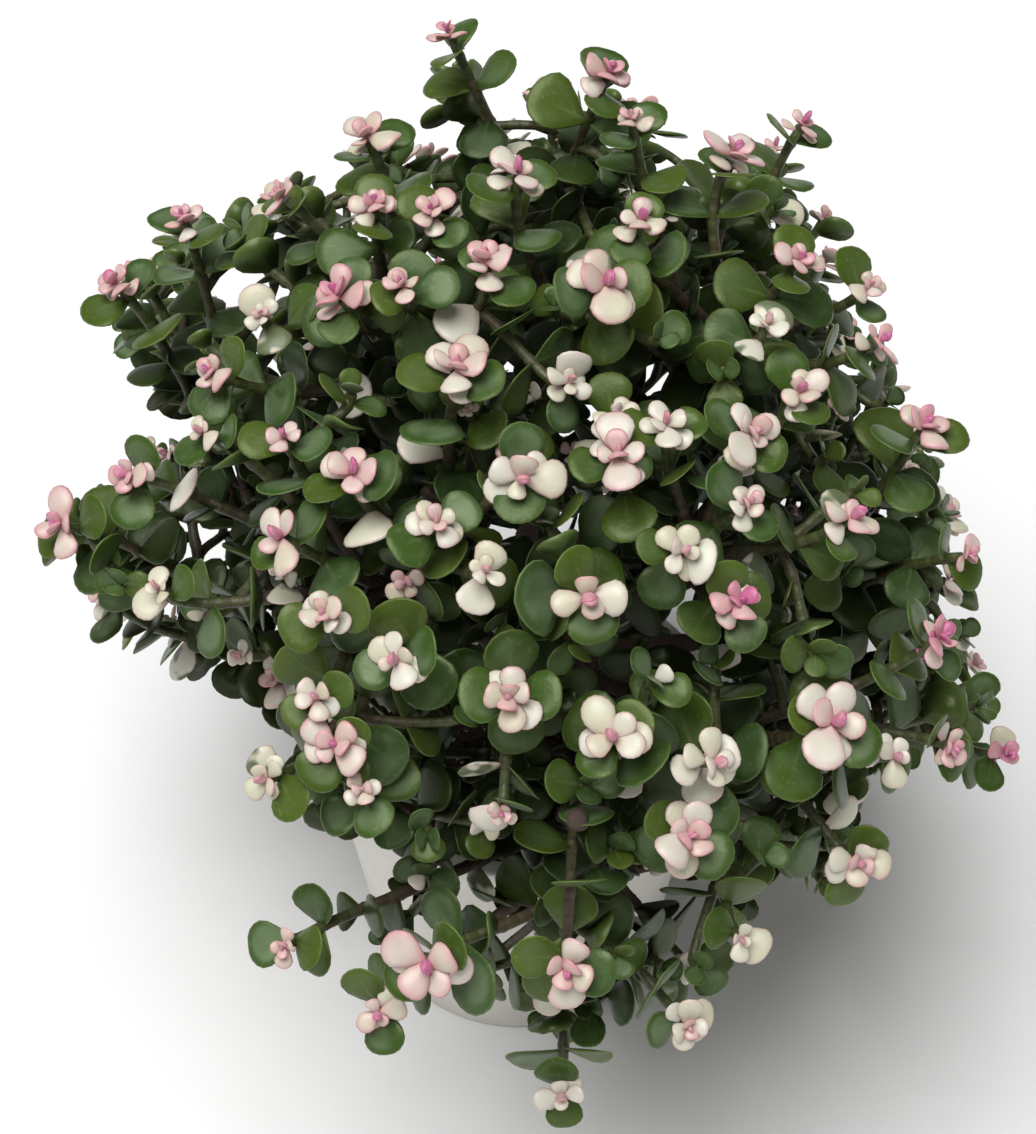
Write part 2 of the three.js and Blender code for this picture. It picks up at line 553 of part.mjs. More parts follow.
// A whole shoot: a square stem with its green pairs, and either its own rosette or a flat end.
// A forked one springs from a point inside the stem that bears it.
const OWN_ROSETTE_NECK = 1;
function shootSolid(shoot, ownRosette) {
  const points = [];
  const faces = [];
  const radiusAt = (back) => SHOOT.endRadius + ((shoot.radius - SHOOT.endRadius) * back) / shoot.base;
  const ring = (back) => addRing(points, shoot.line, back, radiusAt(back), 4, shoot.across, shoot.turn);
  const [foot, ...rest] = shoot.rings;
  if (shoot.forked) points.push(fromTip(shoot.line, shoot.base).at);
  let last = ring(foot);
  const start = ringCorners(last, 4).reverse();
  if (shoot.forked) start.forEach((corner, i) => faces.push([0, corner, start[(i + 1) % 4]]));
  else faces.push(...fan(start));

  const grow = (back, borne) => {
    const next = ring(back);
    for (let i = 0; i < 4; i++) {
      const j = (i + 1) % 4;
      const corners = [last + i, last + j, next + j, next + i];
      const leaf = borne.find(({ side }) => side === i);
      if (leaf) addLeaf(points, faces, leaf, corners);
      else faces.push(...wall(...corners));
    }
    last = next;
  };
  const end = ownRosette ? OWN_ROSETTE_NECK : ROSETTE.neck + GAP;
  const nodes = shoot.pairs.map((pair) => pair.back);
  for (const back of rest) {
    const isNode = nodes.includes(back);
    grow(isNode ? back + SHOOT.nodeHeight / 2 : back, []);
    const above = back === PAIRS[0].back ? end : back - SHOOT.nodeHeight / 2;
    if (isNode) grow(above, leaves.filter((leaf) => leaf.owner === shoot.number && leaf.back === back));
  }
  if (ownRosette) addRosette(points, faces, shoot, last, PLAIN_EDGE);
  else faces.push(...fan(ringCorners(last, 4)));
  return solidFrom(points, faces);
}

// A profile of distances out and heights, turned round the upright axis
function turnedSolid(profile) {
  const turned = new THREE.LatheGeometry(profile.map(([out, z]) => new THREE.Vector2(out, z)), POT.facets);
  turned.rotateX(Math.PI / 2);
  return asSolid(turned);
}
function uprightRod(radius, sides, x, y, low, high) {
  const rod = new THREE.CylinderGeometry(radius, radius, high - low, sides);
  rod.rotateX(Math.PI / 2);
  rod.translate(x, y, (low + high) / 2);
  return asSolid(rod);
}

// Pot: one turned wall with a thicker lip, and drain holes in its floor
function potSolid() {
  const { height, rimRadius, wall: thick, floor, lip, lipHeight, lipSlope } = POT;
  const under = height - lipHeight;
  let pot = turnedSolid([
    [0, 0], [potSide(0), 0], [potSide(under), under], [potSide(under) + lip, under + lipSlope],
    [rimRadius + lip, height], [rimRadius - thick, height], [potSide(floor) - thick, floor], [0, floor],
  ]);
  for (let i = 0; i < DRAIN.count; i++) {
    const turn = (Math.PI * 2 * (i + 0.5)) / DRAIN.count;
    const [x, y] = [DRAIN.ring * Math.cos(turn), DRAIN.ring * Math.sin(turn)];
    pot = pot.subtract(uprightRod(DRAIN.radius, DRAIN.sides, x, y, -floor, floor + floor));
  }
  return pot;
}

// Soil: fills the pot and stands slightly higher in the middle, with a hole for the trunk
const SOIL_CLEAR = GAP * 1.5;
const HOLE_SIDES = 12;
function soilSolid() {
  const side = (z) => potSide(z) - POT.wall - SOIL_CLEAR;
  const bottom = POT.floor + GAP;
  const shoulder = SOIL.top + SOIL.crown * SOIL.shoulderRise;
  const soil = turnedSolid([
    [0, bottom], [side(bottom), bottom], [side(SOIL.top), SOIL.top],
    [side(SOIL.top) * SOIL.shoulder, shoulder], [0, SOIL.top + SOIL.crown],
  ]);
  const radius = (TRUNK.radius + GAP) / Math.cos(Math.PI / HOLE_SIDES);
  return soil.subtract(uprightRod(radius, HOLE_SIDES, 0, 0, TRUNK.root - GAP, TRUNK.top));
}

function woodSolid() {
  const foot = [0, 0, TRUNK.root];
  const top = [0, 0, TRUNK.top];
  const line = stemLine(foot, foot, top, top);
  let wood = tubeSolid(line, [lengthOf(line), 0], [TRUNK.radius, TRUNK.topRadius], TRUNK);
  for (const { shoots: [main] } of branches) {
    const span = [limbFrom(main), limbTo(main)];
    wood = wood.add(tubeSolid(main.line, span, [LIMBS.radius, LIMBS.endRadius], LIMB_TUBE));
  }
  return wood;
}

// Materials
const look = (color, roughness) => new THREE.MeshStandardMaterial({ color, roughness, metalness: 0 });
const POT_LOOK = look(0xe9e6df, 0.6);
const SOIL_LOOK = look(0x4a3a2c, 0.95);
const BARK_LOOK = look(0x5a3d30, 0.8);
const GREEN_LOOK = look(0x44683f, 0.42);
const CREAM_LOOK = look(0xf0d6c8, 0.5);

// The plant in its pot: the largest rosettes are pieces of their own, the rest belong to their branch
const plant = new THREE.Group();
plant.add(asMesh(potSolid(), "pot", POT_LOOK));
plant.add(asMesh(soilSolid(), "soil", SOIL_LOOK));
plant.add(asMesh(woodSolid(), "trunk_and_limbs", BARK_LOOK));

const numbered = (name, i) => name + "_" + String(i + 1).padStart(2, "0");
const bySize = [...shoots].sort((a, b) => b.tip.scale - a.tip.scale || a.number - b.number);
const largest = bySize.slice(0, ROSETTE_NODES).sort((a, b) => a.number - b.number);
branches.forEach((branch, i) => {
  const bodies = branch.shoots.map((shoot) => shootSolid(shoot, !largest.includes(shoot)));
  const whole = bodies.reduce((a, b) => a.add(b));
  plant.add(asMesh(whole, numbered("leafy_branch", i), GREEN_LOOK));
});
largest.forEach((shoot, i) => plant.add(asMesh(rosetteSolid(shoot), numbered("rosette", i), CREAM_LOOK)));

export default plant;
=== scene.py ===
# Looks for the potted variegated elephant bush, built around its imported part, in metres.
# The plant grows by the part's own rules, draws and sizes, in millimetres. Each CAD solid is then
# replaced by finer pieces on the same lines, and inner leaves, short twigs and crumbs are added.
import json
import math
import bmesh
import bpy
import numpy as np
from mathutils import Matrix, Vector

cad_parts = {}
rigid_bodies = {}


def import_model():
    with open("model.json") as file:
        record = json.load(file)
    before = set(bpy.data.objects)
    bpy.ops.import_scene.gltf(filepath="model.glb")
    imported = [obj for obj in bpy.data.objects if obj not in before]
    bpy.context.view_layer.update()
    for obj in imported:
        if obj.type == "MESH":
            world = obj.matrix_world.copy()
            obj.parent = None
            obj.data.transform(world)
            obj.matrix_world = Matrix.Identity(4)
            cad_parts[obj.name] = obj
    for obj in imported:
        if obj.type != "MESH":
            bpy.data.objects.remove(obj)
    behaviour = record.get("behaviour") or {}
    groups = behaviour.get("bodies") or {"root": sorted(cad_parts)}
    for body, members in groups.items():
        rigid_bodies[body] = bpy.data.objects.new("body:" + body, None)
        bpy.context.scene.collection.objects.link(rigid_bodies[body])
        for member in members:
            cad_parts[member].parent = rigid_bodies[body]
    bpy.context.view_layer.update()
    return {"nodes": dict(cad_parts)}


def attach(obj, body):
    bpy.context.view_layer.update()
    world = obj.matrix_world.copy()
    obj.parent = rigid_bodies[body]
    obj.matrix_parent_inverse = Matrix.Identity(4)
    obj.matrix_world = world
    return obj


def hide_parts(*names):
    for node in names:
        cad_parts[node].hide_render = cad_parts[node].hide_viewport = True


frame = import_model()

bl_info = {
    "name": "Variegated elephant bush",
    "version": (1, 0, 0),
    "blender": (4, 5, 0),
    "location": "View3D > Sidebar > Bush",
    "description": "A potted succulent bush with cream and pink rosettes",
    "category": "Add Mesh",
}

MM = 0.001
BODY = "root"

# The part's sizes, in millimetres
GAP = 0.3
POT = dict(height=92, rim=56, base=41, wall=3, floor=4, lip=2.4, lip_height=12, lip_slope=1)
DRAIN = dict(count=4, radius=4, ring=23, cut_at=2, cut_depth=0.02, sides=32)
SOIL = dict(top=82, crown=3)
TRUNK = dict(radius=7, top_radius=4.6, root=52, top=119, fork_low=97, fork_high=115)
CROWN = dict(z=152, half_width=135, half_height=147, back_depth=138, rise=137, heart_drop=26)
LIMBS = dict(count=13, most_shoots=9, settling=8, woody_share=0.42, radius=3.3, end_radius=2.5, steps=3)
LIMB_SPREAD = dict(high=0.93, low=-0.42, turn=0.5)
SHOOT = dict(main_radius=2.3, side_radius=1.7, end_radius=1.2, node=2, fork_depth=3.4, longest_step=34)
ROSETTE = dict(outer=9.2, inner=7.2, slim=0.88, neck=2.2)
PETAL = dict(thickness=1.2, outer_spread=1.25, inner_spread=0.98, smallest=0.45, step=0.1)
PETAL_VARIES = dict(turn=0.16, spread=0.3, length=0.2)
GREEN = dict(length=14.5, slim=0.92, thickness=1.5, light=0.45, bend=0.04, bend_range=0.1)
PAIRS = [(5.6, 0.86, 1.15), (16.5, 1.06, 1.3), (29, 1.08, 1.4)]
SMALL_TIP = 0.71
LONG_EVERY = 5
DROOP_BELOW = 82
CLEARANCE = dict(leaf=0.7, pot=2)
SEED = 7000
TIP_SEED = 35000
VIEW = dict(x=518, y=567, pixels_per_mm=3.7, elevation=45, distance=820)
FAR_TIPS = dict(
    places=80, high=0.92, low=-0.54, turn=0.21, facing=0.2, room=28, apart=26, size=0.765, spread=0.27,
    blush=0.45)
# The crown's edge in the photograph, in pixels from its top round to the right. Far shoots stay within it.
SEEN_EDGE = [
    (455, 60), (520, 90), (610, 75), (700, 165), (800, 135), (825, 210), (855, 330), (905, 420), (950, 470),
    (950, 560), (985, 650), (985, 760), (865, 800), (870, 870), (815, 905), (750, 890), (660, 1020),
    (600, 1010), (560, 1080), (520, 1000), (420, 1010), (330, 950), (390, 860), (310, 810), (290, 690),
    (230, 650), (110, 600), (55, 535), (130, 470), (225, 400), (110, 330), (115, 285), (190, 225),
    (290, 190), (370, 150), (450, 165),
]
DRAWN_IN = dict(share=0.96, most=30)

# Where the photograph sees through the crown: pixels across and down, and a radius
OPENINGS = [
    (235, 305, 46), (160, 290, 30), (340, 190, 32), (365, 245, 28), (440, 145, 30), (525, 105, 44),
    (680, 160, 26), (655, 376, 30), (700, 315, 14), (800, 190, 24), (835, 285, 26), (850, 370, 24),
    (855, 435, 24), (955, 590, 36), (900, 565, 22), (905, 515, 20), (890, 725, 24), (885, 795, 28),
    (780, 895, 34), (695, 925, 32), (655, 885, 26), (525, 935, 34), (505, 860, 22), (455, 740, 20),
    (440, 810, 20), (480, 808, 14), (522, 822, 14), (505, 770, 16), (555, 822, 14), (400, 955, 22),
    (340, 880, 30), (380, 865, 28), (270, 685, 34), (280, 780, 20), (150, 625, 42), (210, 545, 34),
    (235, 480, 20), (188, 486, 20), (130, 470, 30), (185, 430, 26), (280, 345, 24), (275, 395, 22),
    (275, 605, 12),
]

# Tips that the photograph shows: pixels across and down, the rosette's size, its blush from 0, plain
# cream, to 3, magenta, and for one behind a larger one, how many millimetres deeper it lies
SEEN_TIPS = [
    (450, 36, 0.7, 2), (608, 76, 0.95, 2), (632, 122, 0.7, 1), (802, 126, 0.75, 2), (732, 157, 1, 1.6),
    (368, 140, 1, 1), (517, 176, 0.9, 1), (284, 197, 0.7, 1.5), (184, 221, 0.75, 1.8),
    (432, 212, 0.75, 1.6), (374, 206, 0.8, 1.5), (640, 222, 0.85, 1.2), (486, 265, 1.05, 1.5),
    (797, 262, 0.95, 1.6), (604, 284, 1.25, 1.3), (118, 286, 0.85, 2.2), (341, 298, 1.1, 2.2),
    (404, 287, 0.7, 1.4), (456, 371, 1.15, 1), (216, 374, 0.95, 1.6), (877, 343, 0.75, 1.8),
    (868, 287, 0.7, 1), (800, 392, 0.9, 1), (922, 430, 1.1, 1.7), (615, 416, 0.8, 0.6, 14),
    (666, 426, 0.85, 0.4), (748, 434, 1.1, 0.8), (520, 478, 1.1, 0.5), (617, 457, 1.1, 1),
    (285, 438, 0.7, 1.6), (130, 476, 0.75, 2), (64, 526, 1, 1.6), (353, 474, 1.05, 1.6),
    (284, 538, 1.05, 1.2), (437, 524, 0.9, 0.8), (469, 411, 0.75, 0.6, 15), (848, 520, 1, 1.1),
    (746, 504, 0.75, 0.8), (681, 552, 0.85, 0.3), (587, 596, 1.3, 0.8), (738, 604, 0.95, 2.4),
    (325, 614, 0.9, 0.9), (397, 659, 0.95, 0.6), (510, 698, 1.1, 0.8), (614, 738, 1.2, 0.5),
    (712, 762, 1, 0.2), (687, 836, 1.2, 1), (832, 724, 1.35, 1.2), (893, 757, 0.85, 0.2),
    (336, 745, 1, 1.4), (316, 698, 0.75, 0.7), (938, 640, 0.95, 2.6), (1004, 754, 0.6, 2.6),
    (948, 746, 0.75, 1.8), (964, 556, 0.7, 1.6), (857, 862, 1, 0.6), (429, 962, 1.3, 1.3),
    (567, 966, 1.25, 1.2), (378, 1012, 0.8, 1.3), (286, 946, 0.6, 1.2), (686, 1024, 0.9, 0.2),
    (562, 1094, 0.9, 0), (740, 938, 0.6, 0.2), (262, 316, 0.6, 0.2), (766, 326, 0.7, 0.2),
    (484, 572, 0.65, 0.2), (362, 790, 0.7, 0.8), (204, 432, 0.7, 0.8), (160, 590, 0.7, 0.2),
    (268, 778, 0.8, 0.1),
]
MOST_BLUSH = 3


# Vectors and draws

def vec(*numbers):
    return np.array(numbers, float)


UP = vec(0, 0, 1)


def unit(a):
    return a / math.sqrt(a @ a)


def cross(a, b):
    return vec(a[1] * b[2] - a[2] * b[1], a[2] * b[0] - a[0] * b[2], a[0] * b[1] - a[1] * b[0])


def apart(a, b):
    return float(np.linalg.norm(a - b))


def toward(a, b):
    return unit(b - a)


def squared(a, heading):
    return unit(a - heading * (a @ heading))


WORD = 0xFFFFFFFF


def draws(seed):
    """The same draws each run, from a small generator with a stated seed."""
    state = seed & WORD

    def draw():
        nonlocal state
        state = (state + 0x6D2B79F5) & WORD
        t = ((state ^ (state >> 15)) * (state | 1)) & WORD
        t ^= (t + (((t ^ (t >> 7)) * (t | 61)) & WORD)) & WORD
        return (t ^ (t >> 14)) / (WORD + 1)

    return draw


GOLDEN_TURN = math.pi * (3 - math.sqrt(5))


def spiral(count, high, low, turn):
    """Directions spread evenly between two heights of a unit ball."""
    found = []
    for i in range(count):
        z = high + (low - high) * (i + 0.5) / count
        flat = math.sqrt(1 - z * z)
        found.append(vec(flat * math.cos(GOLDEN_TURN * i + turn), flat * math.sin(GOLDEN_TURN * i + turn), z))
    return found


# Crown: where each shoot ends, and which way its tip points

LIFT = math.radians(VIEW["elevation"])
TOWARD_VIEW = vec(0, -math.cos(LIFT), math.sin(LIFT))
ABOVE_VIEW = vec(0, math.sin(LIFT), math.cos(LIFT))
CROWN_MIDDLE = vec(0, 0, CROWN["z"])
CROWN_SHAPE = vec(CROWN["half_width"], CROWN["back_depth"], CROWN["rise"])
HEART = vec(0, 0, CROWN["z"] - CROWN["heart_drop"])
DEPTH_ROUNDS = 4
CROWN_FILL = 0.96
CROWN_EDGE = 0.02
TURN_UP = 0.75
HANG_DOWN = -0.5
ASTRAY = 0.75


class Tip:
    """The end of a shoot: its place, its rosette's size and blush, and its direction."""

    def __init__(self, at, scale, blush, number):
        self.at, self.scale, self.blush = at, scale, blush
        self.out = toward(HEART, at)
        self.droops = at[2] < DROOP_BELOW
        draw = draws(TIP_SEED + number)
        straight = self.out + UP * (HANG_DOWN if self.droops else TURN_UP * (1 - self.out[2]))
        self.axis = unit(straight + vec(draw() - 0.5, draw() - 0.5, draw() - 0.5) * ASTRAY)


def seen_place(x, y, sunk=0):
    right = (x - VIEW["x"]) / VIEW["pixels_per_mm"]
    up = (VIEW["y"] - y) / VIEW["pixels_per_mm"]
    near, shrink = 0, 1
    for _ in range(DEPTH_ROUNDS):
        out = (right * shrink / CROWN["half_width"]) ** 2 + (up * shrink / CROWN["half_height"]) ** 2
        near = CROWN["half_height"] * math.sqrt(max(CROWN_EDGE, 1 - out)) * CROWN_FILL - sunk
        shrink = 1 - near / VIEW["distance"]
    level = vec(right * shrink, 0, CROWN["z"])
    return level + ABOVE_VIEW * up * shrink + TOWARD_VIEW * near


def seen_at(at):
    """Where the photograph shows a place, in pixels across and down."""
    off = at - CROWN_MIDDLE
    scale = VIEW["pixels_per_mm"] / (1 - off @ TOWARD_VIEW / VIEW["distance"])
    return VIEW["x"] + off[0] * scale, VIEW["y"] - off @ ABOVE_VIEW * scale


def in_opening(at):
    """Whether the photograph sees through the crown at a place."""
    x, y = seen_at(at)
    return any(math.hypot(x - middle_x, y - middle_y) < radius for middle_x, middle_y, radius in OPENINGS)


def within_edge(at):
    """Whether a place lies within the edge that the photograph shows."""
    x, y = seen_at(at)
    inside = False
    for (ax, ay), (bx, by) in zip(SEEN_EDGE, SEEN_EDGE[1:] + SEEN_EDGE[:1]):
        if (ay > y) != (by > y) and x < ax + (bx - ax) * (y - ay) / (by - ay):
            inside = not inside
    return inside


def drawn_in(at):
    """Moves a place inwards, square to the line of sight, until it lies within that edge."""
    behind = CROWN_MIDDLE + TOWARD_VIEW * ((at - CROWN_MIDDLE) @ TOWARD_VIEW)
    place = at
    for _ in range(DRAWN_IN["most"]):
        if within_edge(place):
            break
        place = behind + (place - behind) * DRAWN_IN["share"]
    return place


def every_tip():
    """The seen tips, and those on the far side and round the foot of the crown."""
    tips = []
    for x, y, scale, blush, *sunk in SEEN_TIPS:
        tips.append(Tip(seen_place(x, y, *sunk), scale, blush / MOST_BLUSH, len(tips)))
    ways = spiral(FAR_TIPS["places"], FAR_TIPS["high"], FAR_TIPS["low"], FAR_TIPS["turn"])
    for i, out in enumerate(ways):
        if out @ TOWARD_VIEW > FAR_TIPS["facing"]:
            continue
        at = drawn_in(CROWN_MIDDLE + out * CROWN_SHAPE)
        seen, far = tips[:len(SEEN_TIPS)], tips[len(SEEN_TIPS):]
        taken = (any(apart(tip.at, at) < FAR_TIPS["room"] for tip in seen)
                 or any(apart(tip.at, at) < FAR_TIPS["apart"] for tip in far))
        if not taken:
            share = i * GOLDEN_TURN % 1
            blush = FAR_TIPS["blush"] * (1 - abs(2 * share - 1))
            tips.append(Tip(at, FAR_TIPS["size"] + FAR_TIPS["spread"] * share, blush, len(tips)))
    return tips


# Stem lines

LINE_STEPS = 24


class Line:
    """A curve from a stem's foot to its tip, kept as points."""

    def __init__(self, a, b, c, d):
        t = (np.arange(LINE_STEPS + 1) / LINE_STEPS)[:, None]
        s = 1 - t
        self.points = s**3 * a + 3 * s * s * t * b + 3 * s * t * t * c + t**3 * d
        self.steps = np.linalg.norm(np.diff(self.points, axis=0), axis=1)
        self.length = float(self.steps.sum())

    def from_tip(self, distance):
        """The place that lies a distance back from the tip, and which way the stem heads there."""
        left = distance
        for i in range(LINE_STEPS, 0, -1):
            if left <= self.steps[i - 1] or i == 1:
                heading = toward(self.points[i - 1], self.points[i])
                return self.points[i] - heading * left, heading
            left -= self.steps[i - 1]


REACH = dict(rise=0.5, start=0.33, end=0.33, over_rim=0.75, over_rise=0.55, hang=0.5)


def main_line(tip, way):
    """A limb's line rises out of the trunk and turns to its tip. A hanging one first clears the rim."""
    share = (way[2] - LIMB_SPREAD["low"]) / (LIMB_SPREAD["high"] - LIMB_SPREAD["low"])
    foot = vec(0, 0, TRUNK["fork_low"] + (TRUNK["fork_high"] - TRUNK["fork_low"]) * share)
    reach = apart(tip.at, foot)
    if tip.droops:
        flat = unit(vec(tip.at[0], tip.at[1], 0))
        over = foot + (flat + UP * REACH["over_rise"]) * POT["rim"] * REACH["over_rim"]
        return Line(foot, over, tip.at - tip.axis * reach * REACH["hang"], tip.at)
    rise = unit(toward(foot, tip.at) + UP * REACH["rise"])
    return Line(foot, foot + rise * reach * REACH["start"], tip.at - tip.axis * reach * REACH["end"], tip.at)


FORK = dict(
    follow=0.6, start=0.3, end=0.38, by_distance=0.6, by_order=0.4, first=0.3, span=0.6, near=18, far=6)


def side_line(at, heading, tip):
    reach = apart(tip.at, at)
    leave = unit(toward(at, tip.at) + heading * FORK["follow"])
    return Line(at, at + leave * reach * FORK["start"], tip.at - tip.axis * reach * FORK["end"], tip.at)


class Shoot:
    """One stem with its tip. Its number, draws and turn are set by prepare."""

    def __init__(self, tip):
        self.tip = tip
        self.forks = []
        self.forked = False
        self.parent = None

    def radius_at(self, back):
        return SHOOT["end_radius"] + (self.radius - SHOOT["end_radius"]) * back / self.base


def share_tips(tips, ways):
    """Each tip joins the limb that it fits best, while that limb has room."""
    groups = [(way, []) for way in ways]
    fits = [(tip.out @ way, tip, shoots) for tip in tips for way, shoots in groups]
    fits.sort(key=lambda fit: -fit[0])
    taken = set()
    for _, tip, shoots in fits:
        if id(tip) not in taken and len(shoots) < LIMBS["most_shoots"]:
            taken.add(id(tip))
            shoots.append(Shoot(tip))
    return [(way, shoots) for way, shoots in groups if shoots]


def grow_branches(tips):
    grown = share_tips(tips, spiral(LIMBS["count"], **LIMB_SPREAD))
    for _ in range(LIMBS["settling"]):
        grown = share_tips(tips, [unit(sum(s.tip.out for s in shoots)) for _, shoots in grown])
    for way, shoots in grown:
        shoots.sort(key=lambda s: -(s.tip.out @ way))
        main, *sides = shoots
        main.line = main_line(main.tip, way)
        main.base = main.line.length * (1 - LIMBS["woody_share"])
        main.radius = SHOOT["main_radius"]
        for i, side in enumerate(sides):
            order = main.base * (FORK["first"] + FORK["span"] * (i + 1) / len(sides))
            wanted = max(apart(side.tip.at, main.tip.at) * FORK["by_distance"] + order * FORK["by_order"],
                         FORK["near"])
            back = min(wanted, main.base - FORK["far"])
            main.forks.append(back)
            side.forked = True
            side.line = side_line(*main.line.from_tip(back), side.tip)
            side.base = side.line.length
            side.radius = SHOOT["side_radius"]
    return [shoots for _, shoots in grown]


# Leaves and the room between them

LEAF_OUTLINE = np.array([[0, 0], [0.36, -0.4], [0.78, -0.47], [1, 0], [0.78, 0.47], [0.36, 0.4]])
LIGHT = unit(vec(0, -0.35, 1))
LEAF_MIDDLE = 0.55
LEAF_ROOM = 0.62


class Leaf:
    """A leaf as its root on the stem's axis, three directions and its sizes."""

    def __init__(self, at, heading, across_tip, turn, spread, light, length, width, thickness, bend,
                 owner, pair):
        e = squared(across_tip, heading)
        f = cross(heading, e)
        out = e * math.cos(turn) + f * math.sin(turn)
        self.root = at
        self.along = unit(out * math.sin(spread) + heading * math.cos(spread))
        face = heading * math.sin(spread) - out * math.cos(spread)
        self.across = unit(cross(face + LIGHT * light, self.along))
        self.up = cross(self.along, self.across)
        self.length, self.width, self.thickness, self.bend = length, width, thickness, bend
        self.owner, self.pair = owner, pair
        x, y = LEAF_OUTLINE[:, :1] * length, LEAF_OUTLINE[:, 1:] * width
        drop = -bend * length * LEAF_OUTLINE[:, :1] ** 2
        self.points = self.root + self.along * x + self.across * y + self.up * drop
        self.middle = self.root + self.along * length * LEAF_MIDDLE + self.up * thickness / 2


def meets(roots, axes, sizes, points, room):
    """For each of some leaves, whether points joined in a ring come within some room of it."""
    local = np.einsum("kpc,kac->kpa", points - roots[:, None], axes)
    length, width, thickness, bend = (sizes[:, i, None] for i in range(4))
    x, y = local[..., 0], local[..., 1]
    share = np.clip(x / length, 0, 1)
    z = local[..., 2] + bend * length * share**2 - thickness / 2

    def within(x, y):
        half = length / 2
        return ((x - half) / (half + room)) ** 2 + (y / (width / 2 + room)) ** 2 < 1

    close = (np.abs(z) < thickness / 2 + room) & within(x, y)
    next_x, next_y, next_z = (np.roll(v, -1, axis=1) for v in (x, y, z))
    crosses = z * next_z < 0
    t = np.where(crosses, z / np.where(crosses, z - next_z, 1), 0)
    through = crosses & within(x + (next_x - x) * t, y + (next_y - y) * t)
    return (close | through).any(axis=1)


def pot_side(z):
    return POT["base"] + (POT["rim"] - POT["base"]) * z / POT["height"]


def meets_pot(points):
    out = np.hypot(points[:, 0], points[:, 1])
    z = points[:, 2]
    room = CLEARANCE["pot"]
    in_mouth = (out < POT["rim"] - POT["wall"] - room) & (z > SOIL["top"] + SOIL["crown"] + room)
    return bool(((z < POT["height"] + room) & (out < pot_side(z) + POT["lip"] + room) & ~in_mouth).any())


MOST_LEAVES = 6000
MOST_STEMS = 9000


class Room:
    """Every leaf and stem that is placed so far, and whether another leaf has room among them."""

    def __init__(self):
        self.leaves = []
        self.roots = np.zeros((MOST_LEAVES, 3))
        self.axes = np.zeros((MOST_LEAVES, 3, 3))
        self.sizes = np.zeros((MOST_LEAVES, 4))
        self.points = np.zeros((MOST_LEAVES, 6, 3))
        self.middles = np.zeros((MOST_LEAVES, 3))
        self.pairs = np.zeros(MOST_LEAVES, int)
        self.stems = 0
        self.ends = np.zeros((MOST_STEMS, 2, 3))
        self.radii = np.zeros(MOST_STEMS)
        self.reaches = np.zeros(MOST_STEMS)
        self.owners = np.zeros(MOST_STEMS, int)

    def place(self, leaf):
        n = len(self.leaves)
        self.roots[n] = leaf.root
        self.axes[n] = leaf.along, leaf.across, leaf.up
        self.sizes[n] = leaf.length, leaf.width, leaf.thickness, leaf.bend
        self.points[n] = leaf.points
        self.middles[n] = leaf.middle
        self.pairs[n] = leaf.pair
        self.leaves.append(leaf)

    def add_stems(self, line, radius, owner, distances):
        places = [line.from_tip(distance)[0] for distance in distances]
        for start, end in zip(places, places[1:]):
            n = self.stems
            self.ends[n] = start, end
            self.radii[n], self.reaches[n], self.owners[n] = radius, apart(start, end), owner
            self.stems += 1

    def leaf_clashes(self, leaf, room):
        if meets_pot(np.vstack([leaf.points, leaf.middle])):
            return True
        n = len(self.leaves)
        off = np.linalg.norm(self.middles[:n] - leaf.middle, axis=1)
        near = np.flatnonzero((off < (self.sizes[:n, 0] + leaf.length) * LEAF_ROOM)
                              & (self.pairs[:n] != leaf.pair))
        axes = np.array([[leaf.along, leaf.across, leaf.up]])
        sizes = np.array([[leaf.length, leaf.width, leaf.thickness, leaf.bend]])
        if len(near):
            ring = leaf.points[None]
            if meets(self.roots[near], self.axes[near], self.sizes[near], ring, room).any():
                return True
            if meets(leaf.root[None], axes, sizes, self.points[near], room).any():
                return True
        m = self.stems
        off = np.linalg.norm(self.ends[:m, 0] - leaf.middle, axis=1)
        close = np.flatnonzero((off < self.reaches[:m] + leaf.length) & (self.owners[:m] != leaf.owner))
        if not len(close):
            return False
        return bool(meets(leaf.root[None], axes, sizes, self.ends[close],
                          room + self.radii[close, None]).any())

    def stem_clashes(self, places, radius):
        """Whether a new stem through these places would pass through a leaf."""
        n = len(self.leaves)
        middle = places.mean(axis=0)
        reach = np.linalg.norm(places - middle, axis=1).max()
        off = np.linalg.norm(self.middles[:n] - middle, axis=1)
        near = np.flatnonzero(off < reach + self.sizes[:n, 0])
        for start, end in zip(places, places[1:]):
            ends = np.array([[start, end]])
            if len(near) and meets(self.roots[near], self.axes[near], self.sizes[near], ends, radius).any():
                return True
        return False


# Growing the plant: first exactly as the part does

PAIR_TO_FOOT = 7
SHOOT_LEAN = vec(0.31, 0.22, 0.92)
WOOD_OWNER = -1
TRIES = [
    (0, 0, 1), (0, -0.2, 1), (0.25, 0, 1), (-0.25, 0, 1), (0, 0.2, 1),
    (0.2, -0.3, 0.92), (-0.2, -0.3, 0.92), (0.45, 0, 0.88), (-0.45, 0, 0.88), (0, -0.5, 0.85),
    (0, 0, 0.76), (0.3, -0.45, 0.74), (-0.3, -0.45, 0.74), (0, 0.35, 0.7), (0, -0.7, 0.7),
]
GROWN = dict(least=0.86, range=0.28, with_rosette=0.25)
WOBBLE = 0.3
SLIM = dict(least=0.9, range=0.2)


def rings_of(shoot):
    foot = shoot.base - (SHOOT["fork_depth"] if shoot.forked else GAP / 2)
    backs = [back for back, _, _ in shoot.pairs]
    clear = [fork for fork in shoot.forks if all(abs(back - fork) > SHOOT["node"] for back in backs)]
    rings = [foot]
    for back in sorted(clear + backs, reverse=True):
        start = rings[-1]
        steps = math.ceil((start - back) / SHOOT["longest_step"])
        rings += [start + (back - start) * k / steps for k in range(1, steps + 1)]
    return rings


